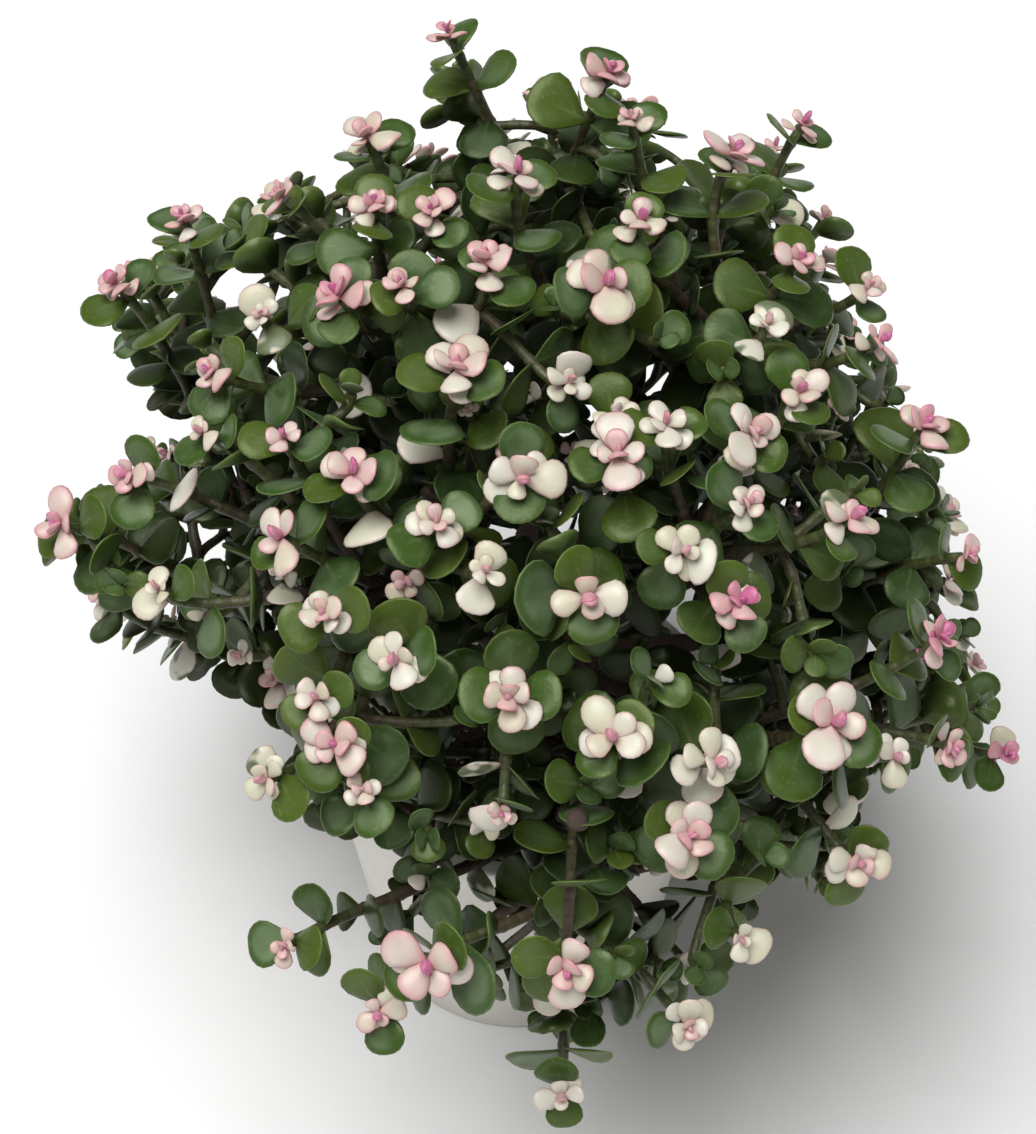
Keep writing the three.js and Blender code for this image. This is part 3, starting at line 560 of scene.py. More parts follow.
def prepare(shoot, number, room):
    shoot.number = number
    shoot.draw = draws(SEED + number)
    shoot.across = unit(cross(shoot.tip.axis, SHOOT_LEAN))
    shoot.turn = shoot.draw() * math.pi
    shoot.varies = varied_petals(shoot.draw)
    count = 1 if shoot.tip.scale < SMALL_TIP else 2 if number % LONG_EVERY else 3
    shoot.pairs = [pair for pair in PAIRS[:count] if pair[0] < shoot.base - PAIR_TO_FOOT]
    room.add_stems(shoot.line, shoot.radius, number, [shoot.base, *rings_of(shoot), ROSETTE["neck"]])


def varied_petals(draw):
    """For each of a rosette's four leaves, how far it is from the usual turn, spread and length."""
    return [(draw() - 0.5, draw() - 0.5, draw() - 0.5) for _ in range(4)]


MOST_PAIRS = 50


def pair_name(shoot, level):
    """A number that the leaves of one pair or rosette share."""
    return shoot.number * MOST_PAIRS + level


def petals_of(shoot, scale):
    at, heading = shoot.line.from_tip(0)
    petals = []
    for k, (turned, spread_more, longer) in enumerate(shoot.varies):
        length = ROSETTE["inner" if k % 2 else "outer"] * scale * (1 + longer * PETAL_VARIES["length"])
        spread = PETAL["inner_spread" if k % 2 else "outer_spread"] + spread_more * PETAL_VARIES["spread"]
        turn = shoot.turn + k * math.pi / 2 + turned * PETAL_VARIES["turn"]
        petals.append(Leaf(at, heading, shoot.across, turn, spread, 0, length, length * ROSETTE["slim"],
                           PETAL["thickness"], 0, shoot.number, pair_name(shoot, 0)))
    return petals


def place_rosette(shoot, room):
    shoot.rosette = shoot.tip.scale
    clearance = CLEARANCE["leaf"]
    while shoot.rosette > PETAL["smallest"] and any(
            room.leaf_clashes(petal, clearance) for petal in petals_of(shoot, shoot.rosette)):
        shoot.rosette -= PETAL["step"]
    shoot.petals = petals_of(shoot, shoot.rosette)
    for petal in shoot.petals:
        petal.back = 0
        room.place(petal)


def place_pair(shoot, pair, level, room, draw, clearance, full_length=GREEN["length"], airy=False):
    """A pair of leaves across a shoot. An airy pair keeps out of what the photograph sees through."""
    back, grown_share, pair_spread = pair
    at, heading = shoot.line.from_tip(back)
    for side in (0, 1):
        grown = GROWN["least"] + GROWN["range"] * draw()
        full = full_length * grown * grown_share * (1 + GROWN["with_rosette"] * (shoot.tip.scale - 1))
        wobble = (draw() - 0.5) * WOBBLE
        bend = GREEN["bend"] + GREEN["bend_range"] * draw()
        slim = GREEN["slim"] * (SLIM["least"] + SLIM["range"] * draw())
        turn = shoot.turn + (level + 1) * math.pi / 2 + side * math.pi + wobble
        for turned, lean, share in TRIES:
            leaf = Leaf(at, heading, shoot.across, turn + turned, pair_spread + wobble + lean, GREEN["light"],
                        full * share, full * share * slim, GREEN["thickness"], bend, shoot.number,
                        pair_name(shoot, level + 1))
            hides = airy and in_opening(leaf.middle)
            if not hides and not room.leaf_clashes(leaf, clearance):
                leaf.back, leaf.level = back, level
                shoot.leaves.append(leaf)
                room.place(leaf)
                break


# Then what only the scene shows: leaves further down the shoots, and short leafy twigs between them

# Inner pairs stand step by step from first. Up to full millimetres from the tip all grow, and from thin
# only the least share does.
INNER = dict(first=29, step=11, shortest_step=0.9, step_range=0.25, full=60, thin=130, least=0.6, size=1.02,
             spread=1.35, room=0.35)
# Twigs end at places spread over the crown, between the shares low and high of its size
TWIG = dict(
    tries=4200, low=0.36, high=0.97, outward=1.7, near_tip=12, far_tip=52, leaf_room=9.5, twig_room=17,
    shortest=11, longest=46, radius=1.15, foot=1.15, rosette_share=0.2, seed=9100, room=0.3, lowest=66,
    to_foot=3)
TWIG_SPREAD = dict(high=0.97, low=-0.62, turn=0.4)
TWIG_TIP = dict(size=0.5, range=0.22, most_blush=0.5)
TWIG_STEM = dict(share=0.8, more=4)
TWIG_FORK = dict(from_tip=9, from_foot=8, step=4.0, nearest=40, every=3, outward=0.15, forward=-0.1)
QUARTERS = (0.75, 0.5, 0.25, 0)
TWIG_PAIRS = [(1.2, 0.5, 0.6), (4, 0.82, 1.05), (12, 1, 1.25), (22.5, 1.05, 1.35), (33, 1.05, 1.4)]
ROSETTE_TWIG_PAIRS = [(5, 0.86, 1.15), (14.5, 1.02, 1.3), (25, 1.05, 1.4)]


def grow_inner_pairs(shoots, room):
    for shoot in shoots:
        draw = draws(SEED * 2 + shoot.number)
        level = len(shoot.pairs)
        back = shoot.pairs[-1][0] + INNER["step"] if shoot.pairs else INNER["first"]
        while back < shoot.base - PAIR_TO_FOOT / 2:
            thinned = (back - INNER["full"]) / (INNER["thin"] - INNER["full"])
            keep = 1 - (1 - INNER["least"]) * min(max(thinned, 0), 1)
            if draw() < keep:
                pair = (back, INNER["size"], INNER["spread"])
                place_pair(shoot, pair, level, room, draw, INNER["room"], airy=True)
            level += 1
            back += INNER["step"] * (INNER["shortest_step"] + INNER["step_range"] * draw())


def stem_places(shoots):
    """Places along every stem that a twig may fork from."""
    rows = []
    for shoot in shoots:
        last = shoot.line.length - TWIG_FORK["from_foot"]
        for back in np.arange(TWIG_FORK["from_tip"], last, TWIG_FORK["step"]):
            at, heading = shoot.line.from_tip(back)
            rows.append((at, heading, shoot))
    return rows


def grow_twigs(shoots, room):
    """Short leafy twigs wherever the crown has room for them and the photograph doesn't see through."""
    draw = draws(TWIG["seed"])
    places = stem_places(shoots)
    spots = np.array([at for at, _, _ in places])
    tips = np.array([shoot.tip.at for shoot in shoots])
    twigs = []
    ends = np.zeros((0, 3))
    ways = spiral(TWIG["tries"], **TWIG_SPREAD)
    order = sorted(range(len(ways)), key=lambda i: i * GOLDEN_TURN % 1)
    for i in order:
        share = TWIG["low"] + (TWIG["high"] - TWIG["low"]) * (1 - draw() ** TWIG["outward"])
        at = CROWN_MIDDLE + ways[i] * CROWN_SHAPE * share
        if at[2] < TWIG["lowest"] or meets_pot(at[None]) or not within_edge(at) or in_opening(at):
            continue
        off = np.linalg.norm(tips - at, axis=1).min()
        if not TWIG["near_tip"] < off < TWIG["far_tip"]:
            continue
        count = len(room.leaves)
        if np.linalg.norm(room.middles[:count] - at, axis=1).min() < TWIG["leaf_room"]:
            continue
        if len(ends) and np.linalg.norm(ends - at, axis=1).min() < TWIG["twig_room"]:
            continue
        with_rosette = draw() < TWIG["rosette_share"]
        tip = Tip(at, TWIG_TIP["size"] + TWIG_TIP["range"] * draw(), TWIG_TIP["most_blush"] * draw(),
                  TWIG["seed"] + i)
        twig = fork_twig(tip, spots, places, room)
        if twig is None:
            continue
        twig.number = len(shoots) + len(twigs)
        twig.draw = draw
        twig.across = unit(cross(tip.axis, SHOOT_LEAN))
        twig.turn = draw() * math.pi
        twig.varies = varied_petals(draw)
        twig.leaves, twig.petals = [], []
        twig.has_rosette = with_rosette
        back = min(twig.base, TWIG_STEM["share"] * twig.base + TWIG_STEM["more"])
        room.add_stems(twig.line, twig.radius, twig.number, [back, back / 2, 0])
        if with_rosette:
            place_rosette(twig, room)
        pairs = ROSETTE_TWIG_PAIRS if with_rosette else TWIG_PAIRS
        for level, pair in enumerate(pairs):
            if pair[0] < twig.base - TWIG["to_foot"]:
                place_pair(twig, pair, level, room, draw, TWIG["room"], airy=True)
        twigs.append(twig)
        ends = np.vstack([ends, at])
    return twigs


def fork_twig(tip, spots, places, room):
    """A short stem to this tip from the nearest stem behind it, or None where no way is clear."""
    off = np.linalg.norm(spots - tip.at, axis=1)
    fit = np.flatnonzero((off > TWIG["shortest"]) & (off < TWIG["longest"]))
    for k in fit[np.argsort(off[fit])][:TWIG_FORK["nearest"]:TWIG_FORK["every"]]:
        at, heading, parent = places[k]
        leave = toward(at, tip.at)
        if leave @ tip.out < TWIG_FORK["outward"] or leave @ heading < TWIG_FORK["forward"]:
            continue
        line = side_line(at, heading, tip)
        checked = np.array([line.from_tip(line.length * share)[0] for share in QUARTERS])
        if room.stem_clashes(checked, TWIG["radius"]):
            continue
        twig = Shoot(tip)
        twig.line, twig.base, twig.radius = line, line.length, TWIG["radius"] * TWIG["foot"]
        twig.parent = parent
        return twig
    return None


def grow_plant():
    tips = every_tip()
    branches = grow_branches(tips)
    shoots = [shoot for branch in branches for shoot in branch]
    room = Room()
    for number, shoot in enumerate(shoots):
        prepare(shoot, number, room)
        shoot.leaves = []
    for branch in branches:
        main = branch[0]
        start, end = main.line.length, main.base + GAP / 2
        steps = LIMBS["steps"]
        backs = [start + (end - start) * k / steps for k in range(steps + 1)]
        room.add_stems(main.line, LIMBS["radius"], WOOD_OWNER, backs)
    for shoot in shoots:
        place_rosette(shoot, room)
    for level, pair in enumerate(PAIRS):
        for shoot in shoots:
            if pair in shoot.pairs:
                place_pair(shoot, pair, level, room, shoot.draw, CLEARANCE["leaf"])
    kept = sum(len(shoot.leaves) for shoot in shoots)
    grow_inner_pairs(shoots, room)
    inner = sum(len(shoot.leaves) for shoot in shoots) - kept
    twigs = grow_twigs(shoots, room)
    twig_leaves = sum(len(twig.leaves) for twig in twigs)
    rosettes = sum(twig.has_rosette for twig in twigs)
    print(f"{len(tips)} tips, {kept} leaves of the part, {inner} inner leaves, {len(twigs)} twigs "
          f"with {twig_leaves} leaves and {rosettes} rosettes")
    return branches, twigs


# Meshes and node trees

def link(obj):
    bpy.context.scene.collection.objects.link(obj)
    return obj


def store(mesh, name, kind, values, domain="POINT"):
    """A named attribute on a mesh. A vector's values are rows of three."""
    attribute = mesh.attributes.new(name, kind, domain)
    field = "vector" if kind == "FLOAT_VECTOR" else "value"
    attribute.data.foreach_set(field, np.asarray(values, np.int32 if kind == "INT" else np.float32).ravel())


def new_tree(name, sockets):
    """A geometry node tree with the named inputs, and its first and last nodes."""
    tree = bpy.data.node_groups.new(name, "GeometryNodeTree")
    tree.interface.new_socket("Geometry", in_out="INPUT", socket_type="NodeSocketGeometry")
    tree.interface.new_socket("Geometry", in_out="OUTPUT", socket_type="NodeSocketGeometry")
    for label, kind in sockets:
        tree.interface.new_socket(label, in_out="INPUT", socket_type=kind)
    return tree, tree.nodes.new("NodeGroupInput"), tree.nodes.new("NodeGroupOutput")


def node(tree, kind, settings=None, **inputs):
    """A node with its settings, and its inputs either linked or given a value."""
    made = tree.nodes.new(kind)
    for key, value in (settings or {}).items():
        setattr(made, key, value)
    for key, value in inputs.items():
        feed(tree, made.inputs[key.replace("_", " ")], value)
    return made


def feed(tree, socket, value):
    if isinstance(value, bpy.types.NodeSocket):
        tree.links.new(value, socket)
    else:
        socket.default_value = value


def read(tree, name, kind="FLOAT"):
    """The values of a named attribute."""
    return node(tree, "GeometryNodeInputNamedAttribute", {"data_type": kind}, Name=name).outputs["Attribute"]


def finish_tree(tree, geometry, material, output):
    """Every tree ends in real faces, shaded smooth, with their material."""
    whole = node(tree, "GeometryNodeRealizeInstances", Geometry=geometry)
    smooth = node(tree, "GeometryNodeSetShadeSmooth", Geometry=whole.outputs["Geometry"])
    dressed = node(tree, "GeometryNodeSetMaterial", Geometry=smooth.outputs["Geometry"], Material=material)
    tree.links.new(dressed.outputs["Geometry"], output.inputs["Geometry"])


def uneven(tree, geometry, amount, grain):
    """Moves each point a little, so that no two copies have quite the same shape."""
    place = node(tree, "GeometryNodeInputPosition").outputs["Position"]
    noise = node(tree, "ShaderNodeTexNoise", Vector=place, Scale=grain, Detail=1.0)
    middle = node(tree, "ShaderNodeVectorMath", {"operation": "SUBTRACT"})
    feed(tree, middle.inputs[0], noise.outputs["Color"])
    middle.inputs[1].default_value = (0.5, 0.5, 0.5)
    moved = node(tree, "ShaderNodeVectorMath", {"operation": "SCALE"}, Scale=amount)
    feed(tree, moved.inputs[0], middle.outputs["Vector"])
    return node(tree, "GeometryNodeSetPosition", Geometry=geometry,
                Offset=moved.outputs["Vector"]).outputs["Geometry"]


def copies_tree():
    """One of the shapes in a collection at each point, turned and sized by the point's attributes."""
    tree, given, output = new_tree("Copies at points", [
        ("Shapes", "NodeSocketCollection"), ("Unevenness", "NodeSocketFloat"), ("Grain", "NodeSocketFloat"),
        ("Material", "NodeSocketMaterial")])
    shapes = node(tree, "GeometryNodeCollectionInfo", Collection=given.outputs["Shapes"])
    shapes.inputs["Separate Children"].default_value = True
    shapes.inputs["Reset Children"].default_value = True
    turned = node(tree, "FunctionNodeAxesToRotation", {"primary_axis": "Z", "secondary_axis": "X"})
    feed(tree, turned.inputs[0], read(tree, "up", "FLOAT_VECTOR"))
    feed(tree, turned.inputs[1], read(tree, "along", "FLOAT_VECTOR"))
    copies = node(tree, "GeometryNodeInstanceOnPoints", Points=given.outputs["Geometry"],
                  Instance=shapes.outputs["Instances"], Rotation=turned.outputs["Rotation"],
                  Scale=read(tree, "size", "FLOAT_VECTOR"))
    copies.inputs["Pick Instance"].default_value = True
    feed(tree, copies.inputs["Instance Index"], read(tree, "shape", "INT"))
    whole = node(tree, "GeometryNodeRealizeInstances", Geometry=copies.outputs["Instances"])
    varied = uneven(tree, whole.outputs["Geometry"], given.outputs["Unevenness"], given.outputs["Grain"])
    finish_tree(tree, varied, given.outputs["Material"], output)
    return tree


def tubes_tree():
    """A round tube along each line, as thick as its points say, with a closed end."""
    tree, given, output = new_tree("Tubes along lines", [
        ("Sides", "NodeSocketInt"), ("Unevenness", "NodeSocketFloat"), ("Grain", "NodeSocketFloat"),
        ("Material", "NodeSocketMaterial")])
    lines = node(tree, "GeometryNodeMeshToCurve", Mesh=given.outputs["Geometry"])
    ring = node(tree, "GeometryNodeCurvePrimitiveCircle", Resolution=given.outputs["Sides"], Radius=1.0)
    tubes = node(tree, "GeometryNodeCurveToMesh", Curve=lines.outputs["Curve"],
                 Scale=read(tree, "thickness"))
    feed(tree, tubes.inputs["Profile Curve"], ring.outputs["Curve"])
    tubes.inputs["Fill Caps"].default_value = True
    varied = uneven(tree, tubes.outputs["Mesh"], given.outputs["Unevenness"], given.outputs["Grain"])
    finish_tree(tree, varied, given.outputs["Material"], output)
    return tree


def grown(name, carrier, tree, **values):
    """The plain mesh that a tree makes from a carrier mesh, as an object at the origin."""
    obj = link(bpy.data.objects.new(name, carrier))
    modifier = obj.modifiers.new(tree.name, "NODES")
    modifier.node_group = tree
    for socket in tree.interface.items_tree:
        if socket.name in values:
            modifier[socket.identifier] = values[socket.name]
    depsgraph = bpy.context.evaluated_depsgraph_get()
    mesh = bpy.data.meshes.new_from_object(
        obj.evaluated_get(depsgraph), preserve_all_data_layers=True, depsgraph=depsgraph)
    obj.modifiers.clear()
    obj.data = mesh
    mesh.name = name
    bpy.data.meshes.remove(carrier)
    return obj


def seat(obj, slot, *nodes):
    """The piece rides on the part's one body and stands for CAD nodes, which it hides. Its slot is not used.
    """
    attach(obj, BODY)
    if nodes:
        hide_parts(*nodes)
    return obj


# Leaf shapes. x runs from the leaf's foot to its tip, y across it and z up, in shares of its length or
# width. Rings run from the middle of the upper face over the rim to the middle of the lower face. Each is
# its share of the outline, its side, 1 above and -1 below, and how much it belongs to the rim.

SHAPES = dict(green=12, cream=8, bud=4)
SHAPE_SEED = dict(green=31, cream=37, bud=41)
POINTS = dict(green=18, cream=16, bud=8)
GREEN_RINGS = [(0, 1, 0), (0.6, 1, 0), (0.94, 1, 0.62), (1, 0, 1), (0, -1, 0)]
CREAM_RINGS = [(0, 1, 0), (0.6, 1, 0), (0.92, 1, 0.55), (1, 0, 1), (0.86, -1, 0.3), (0, -1, 0)]
MIDDLE_AT = 0.92
TAPER_POWER = 1.4
NOTCH_POWER = 12


def leaf_shape(name, points, rings, fullest, taper, thick, pillow, cup, fold, bend, twist, lean, notch):
    """One closed leaf with a rounded rim, cupped, folded along its middle, bent and twisted."""
    turn = np.arange(points) * 2 * math.pi / points
    x = fullest + np.where(np.cos(turn) > 0, 1 - fullest, fullest) * np.cos(turn)
    back = np.maximum(0, (fullest - x) / fullest)
    y = 0.5 * np.sin(turn) * (1 - taper * back**TAPER_POWER) * (1 + lean * np.sin(turn))
    x = x - notch * np.maximum(0, np.cos(turn)) ** NOTCH_POWER
    middle = fullest * MIDDLE_AT
    corners, rows, places, edges = [], [], [], []
    for share, side, edge in rings:
        count = 1 if share == 0 else points
        corners.append([len(edges) + i % count for i in range(points)])
        px = middle + (x[:count] - middle) * share
        py = y[:count] * share
        height = 0.5 + 0.5 * side * (1 - share**pillow) ** 0.5
        pz = thick * height - bend * px**2 + cup * (2 * py) ** 2 + fold * np.abs(2 * py) + twist * py * px
        rows.append(np.column_stack([px, py, pz]))
        places.append(np.column_stack([px, py, np.full(count, side)]))
        edges += [edge] * count
    faces = []
    for inner, outer in zip(corners, corners[1:]):
        for i in range(points):
            j = (i + 1) % points
            faces.append(tuple(dict.fromkeys((inner[i], outer[i], outer[j], inner[j]))))
    mesh = bpy.data.meshes.new(name)
    mesh.from_pydata(np.vstack(rows).tolist(), [], faces)
    store(mesh, "leaf_place", "FLOAT_VECTOR", np.vstack(places))
    store(mesh, "edge", "FLOAT", edges)
    return bpy.data.objects.new(name, mesh)


def shape_set(kind, rings, ranges):
    """A collection of leaf shapes, each with its own draws between two limits."""
    draw = draws(SHAPE_SEED[kind])
    shapes = bpy.data.collections.new(f"{kind}_shape")
    for i in range(SHAPES[kind]):
        values = {key: low + (high - low) * draw() for key, (low, high) in ranges.items()}
        shapes.objects.link(leaf_shape(f"{kind}_shape_{i:02d}", POINTS[kind], rings, **values))
    return shapes


GREEN_SHAPES = dict(
    fullest=(0.54, 0.63), taper=(0.62, 0.8), thick=(0.085, 0.11), pillow=(3, 4.5), cup=(-0.035, 0.085),
    fold=(-0.01, 0.06), bend=(0.01, 0.16), twist=(-0.12, 0.12), lean=(-0.07, 0.07), notch=(0, 0.035))
CREAM_SHAPES = dict(
    fullest=(0.56, 0.66), taper=(0.55, 0.82), thick=(0.2, 0.27), pillow=(1.9, 2.6), cup=(-0.12, 0.05),
    fold=(-0.02, 0.03), bend=(-0.08, 0.16), twist=(-0.16, 0.16), lean=(-0.1, 0.1), notch=(0, 0.03))
BUD_SHAPES = dict(
    fullest=(0.5, 0.56), taper=(0.1, 0.4), thick=(0.28, 0.36), pillow=(2, 2.5), cup=(-0.12, 0),
    fold=(0, 0), bend=(-0.1, 0), twist=(-0.1, 0.1), lean=(-0.05, 0.05), notch=(0, 0))


def leaf_points(name, rows):
    """A carrier mesh with one point for each leaf. A row is a leaf, its shape, its thickness beyond the
    shape's own, and its finish: tone, age with a painted shade deep in the crown, blush and blotch."""
    mesh = bpy.data.meshes.new(name)
    mesh.from_pydata([tuple(leaf.root * MM) for leaf, *_ in rows], [], [])
    store(mesh, "along", "FLOAT_VECTOR", [leaf.along for leaf, *_ in rows])
    store(mesh, "up", "FLOAT_VECTOR", [leaf.up for leaf, *_ in rows])
    store(mesh, "size", "FLOAT_VECTOR",
          [(leaf.length * MM, leaf.width * MM, leaf.length * MM * plump) for leaf, _, plump, _ in rows])
    store(mesh, "shape", "INT", [shape for _, shape, _, _ in rows])
    for i, key in enumerate(("tone", "age_and_shade", "blush", "blotch")):
        store(mesh, key, "FLOAT", [finish[i] for *_, finish in rows])
    return mesh


def line_mesh(name, lines):
    """A carrier mesh of lines. Each is rows of place, thickness, age and distance from the tip, in mm."""
    places, edges, thickness, age_and_shade, run = [], [], [], [], []
    for line in lines:
        start = len(places)
        for at, radius, old, back in line:
            places.append(tuple(at * MM))
            thickness.append(radius * MM)
            age_and_shade.append(old)
            run.append(back * MM)
        edges += [(i, i + 1) for i in range(start, len(places) - 1)]
    mesh = bpy.data.meshes.new(name)
    mesh.from_pydata(places, edges, [])
    store(mesh, "thickness", "FLOAT", thickness)
    store(mesh, "age_and_shade", "FLOAT", age_and_shade)
    store(mesh, "run", "FLOAT", run)
    return mesh


# Materials

# How fine each finish's grain is, in waves to a metre
GRAIN = dict(
    leaf_cloud=110.0, leaf_speck=900.0, petal_cloud=150.0, petal_speck=800.0, bark_streak=260.0,
    bark_speck=1100.0, clod=240.0, crumb=900.0, glaze_cloud=28.0, glaze_fleck=900.0, floor_cloud=1.5)
SCAR_SPACING = 0.0038
PETAL_DEPTH = 0.0012
PETAL_SCATTER = (1.0, 0.5, 0.4)


def new_material(name):
    material = bpy.data.materials.new(name)
    material.use_nodes = True
    return material, material.node_tree, material.node_tree.nodes["Principled BSDF"]


def mixed(tree, share, first, second, blend="MIX"):
    """Two colours mixed by a share."""
    mix = node(tree, "ShaderNodeMix", {"data_type": "RGBA", "blend_type": blend, "clamp_factor": True})
    feed(tree, mix.inputs[0], share)
    feed(tree, mix.inputs[6], first)
    feed(tree, mix.inputs[7], second)
    return mix.outputs[2]


def sum_of(tree, operation, *values, clamp=False):
    made = node(tree, "ShaderNodeMath", {"operation": operation, "use_clamp": clamp})
    for i, value in enumerate(values):
        feed(tree, made.inputs[i], value)
    return made.outputs[0]


def spread_over(tree, value, low, high, to_low=0.0, to_high=1.0):
    """A value's range mapped smoothly to another."""
    made = node(tree, "ShaderNodeMapRange", {"interpolation_type": "SMOOTHSTEP"}, Value=value)
    for key, number in zip(("From Min", "From Max", "To Min", "To Max"), (low, high, to_low, to_high)):
        made.inputs[key].default_value = number
    return made.outputs["Result"]


def grain(tree, scale, detail=2.0, rough=0.5):
    """Noise on the object's own coordinates."""
    place = node(tree, "ShaderNodeTexCoord").outputs["Object"]
    return node(tree, "ShaderNodeTexNoise", Vector=place, Scale=scale, Detail=detail, Roughness=rough)


def kept(tree, name):
    """A number that is stored on the piece."""
    return node(tree, "ShaderNodeAttribute", {"attribute_name": name}).outputs["Fac"]


def leaf_axes(tree):
    """The leaf's own x, y and side as three numbers."""
    place = node(tree, "ShaderNodeAttribute", {"attribute_name": "leaf_place"}).outputs["Vector"]
    apart = node(tree, "ShaderNodeSeparateXYZ", Vector=place)
    return apart.outputs


def bumped(tree, shader, height, strength, distance):
    bump = node(tree, "ShaderNodeBump", Height=height, Strength=strength, Distance=distance)
    tree.links.new(bump.outputs["Normal"], shader.inputs["Normal"])


def green_finish(look):
    """Satin dark green, cloudy with waxy bloom and painted sheen in the middle, with faint specks and a thin
    pale margin, and darker with age and with a painted shade deep in the crown.
    """
    material, tree, shader = new_material("satin_green_leaf")
    x, y, side = leaf_axes(tree)
    tone, age_and_shade, edge = kept(tree, "tone"), kept(tree, "age_and_shade"), kept(tree, "edge")
    # Leaves turn from the young to the old green with their age, and deep in the crown with a painted shade
    base = mixed(tree, spread_over(tree, age_and_shade, 0, 1), look.young_green, look.old_and_shaded_green)
    base = mixed(tree, spread_over(tree, tone, 0.0, 0.4, 0.5, 0), base, look.cool_green)
    base = mixed(tree, spread_over(tree, tone, 0.4, 1, 0, 0.85), base, look.warm_green)
    clouds = grain(tree, GRAIN["leaf_cloud"], 1.0).outputs["Fac"]
    # Real waxy bloom with a painted sheen: a paler grey-green, most in the middle of a leaf and least at its
    # rim
    bloom_and_sheen_reach = sum_of(tree, "MULTIPLY", spread_over(tree, edge, 0.0, 0.5, 1.0, 0.12),
                  spread_over(tree, tone, 0.3, 0.75, 1.0, 0.3))
    bloom_and_sheen = sum_of(tree, "MULTIPLY", bloom_and_sheen_reach, spread_over(tree, clouds, 0.32, 0.68, 0.1, 0.85))
    base = mixed(tree, bloom_and_sheen, base, look.bloom_and_sheen_green)
    # A paler line down the middle of the leaf, fading towards its tip: partly its rib, partly a painted
    # highlight on its crease
    rib_and_crease_highlight = sum_of(tree, "MULTIPLY", spread_over(tree, sum_of(tree, "ABSOLUTE", y), 0.0, 0.05, 0.3, 0.0),
                 spread_over(tree, x, 0.25, 0.8, 1.0, 0.0))
    base = mixed(tree, rib_and_crease_highlight, base, look.pale_margin_and_crease_highlight)
    fine = grain(tree, GRAIN["leaf_speck"], 1.0).outputs["Fac"]
    base = mixed(tree, spread_over(tree, fine, 0.62, 0.74, 0, 0.24), base, look.pale_margin_and_crease_highlight)
    base = mixed(tree, spread_over(tree, edge, 0.62, 0.95, 0, 0.55), base, look.pale_margin_and_crease_highlight)
    base = mixed(tree, spread_over(tree, side, -0.4, 0.2, 0.6, 0.0), base, look.underside)
    # Leaves far down a shoot, by their age, and leaves deep in the crown, as a painted shade, darken further
    # towards the old green
    base = mixed(tree, spread_over(tree, age_and_shade, 0.2, 0.9, 0, 0.85), base, look.old_and_shaded_green)
    feed(tree, shader.inputs["Base Color"], base)
    rough = sum_of(tree, "MULTIPLY_ADD", clouds, look.leaf_roughness, look.leaf_roughness / 2)
    feed(tree, shader.inputs["Roughness"], rough)
    shader.inputs["Specular IOR Level"].default_value = look.leaf_shine
    shader.inputs["Specular Tint"].default_value = look.shine_tint
    bumped(tree, shader, fine, 0.3, 0.0002)
    return material


def cream_finish(look):
    """Cream that turns pink with its blush, with a thin pink rim, a pink foot and some green blotches."""
    material, tree, shader = new_material("cream_and_pink_leaf")
    x = leaf_axes(tree)[0]
    tone, blush, edge = kept(tree, "tone"), kept(tree, "blush"), kept(tree, "edge")
    clouds = grain(tree, GRAIN["petal_cloud"], 1.0).outputs["Fac"]
    flush = sum_of(tree, "ADD", blush, sum_of(tree, "MULTIPLY_ADD", clouds, 0.5, -0.25), clamp=True)
    base = mixed(tree, spread_over(tree, tone, 0, 1), look.cream, look.ivory)
    base = mixed(tree, spread_over(tree, flush, 0.12, 0.85, 0, 0.95), base, look.pink)
    foot = sum_of(tree, "MULTIPLY", spread_over(tree, x, 0.1, 0.6, 1.0, 0.0),
                  spread_over(tree, blush, 0.0, 0.6, 0.2, 0.9))
    base = mixed(tree, foot, base, look.pink)
    rim = sum_of(tree, "MULTIPLY", spread_over(tree, edge, 0.0, 0.95),
                 spread_over(tree, flush, 0.0, 0.5, 0.2, 0.7))
    base = mixed(tree, rim, base, look.rim_pink)
    base = mixed(tree, spread_over(tree, blush, 0.68, 0.95), base, look.magenta)
    reach = sum_of(tree, "MULTIPLY", kept(tree, "blotch"), spread_over(tree, clouds, 0.42, 0.5))
    base = mixed(tree, reach, base, look.young_green)
    feed(tree, shader.inputs["Base Color"], base)
    shader.inputs["Roughness"].default_value = look.petal_roughness
    shader.inputs["Subsurface Weight"].default_value = look.petal_glow
    shader.inputs["Subsurface Radius"].default_value = PETAL_SCATTER
    shader.inputs["Subsurface Scale"].default_value = PETAL_DEPTH
    bumped(tree, shader, grain(tree, GRAIN["petal_speck"], 1.0).outputs["Fac"], 0.25, 0.0002)
    return material


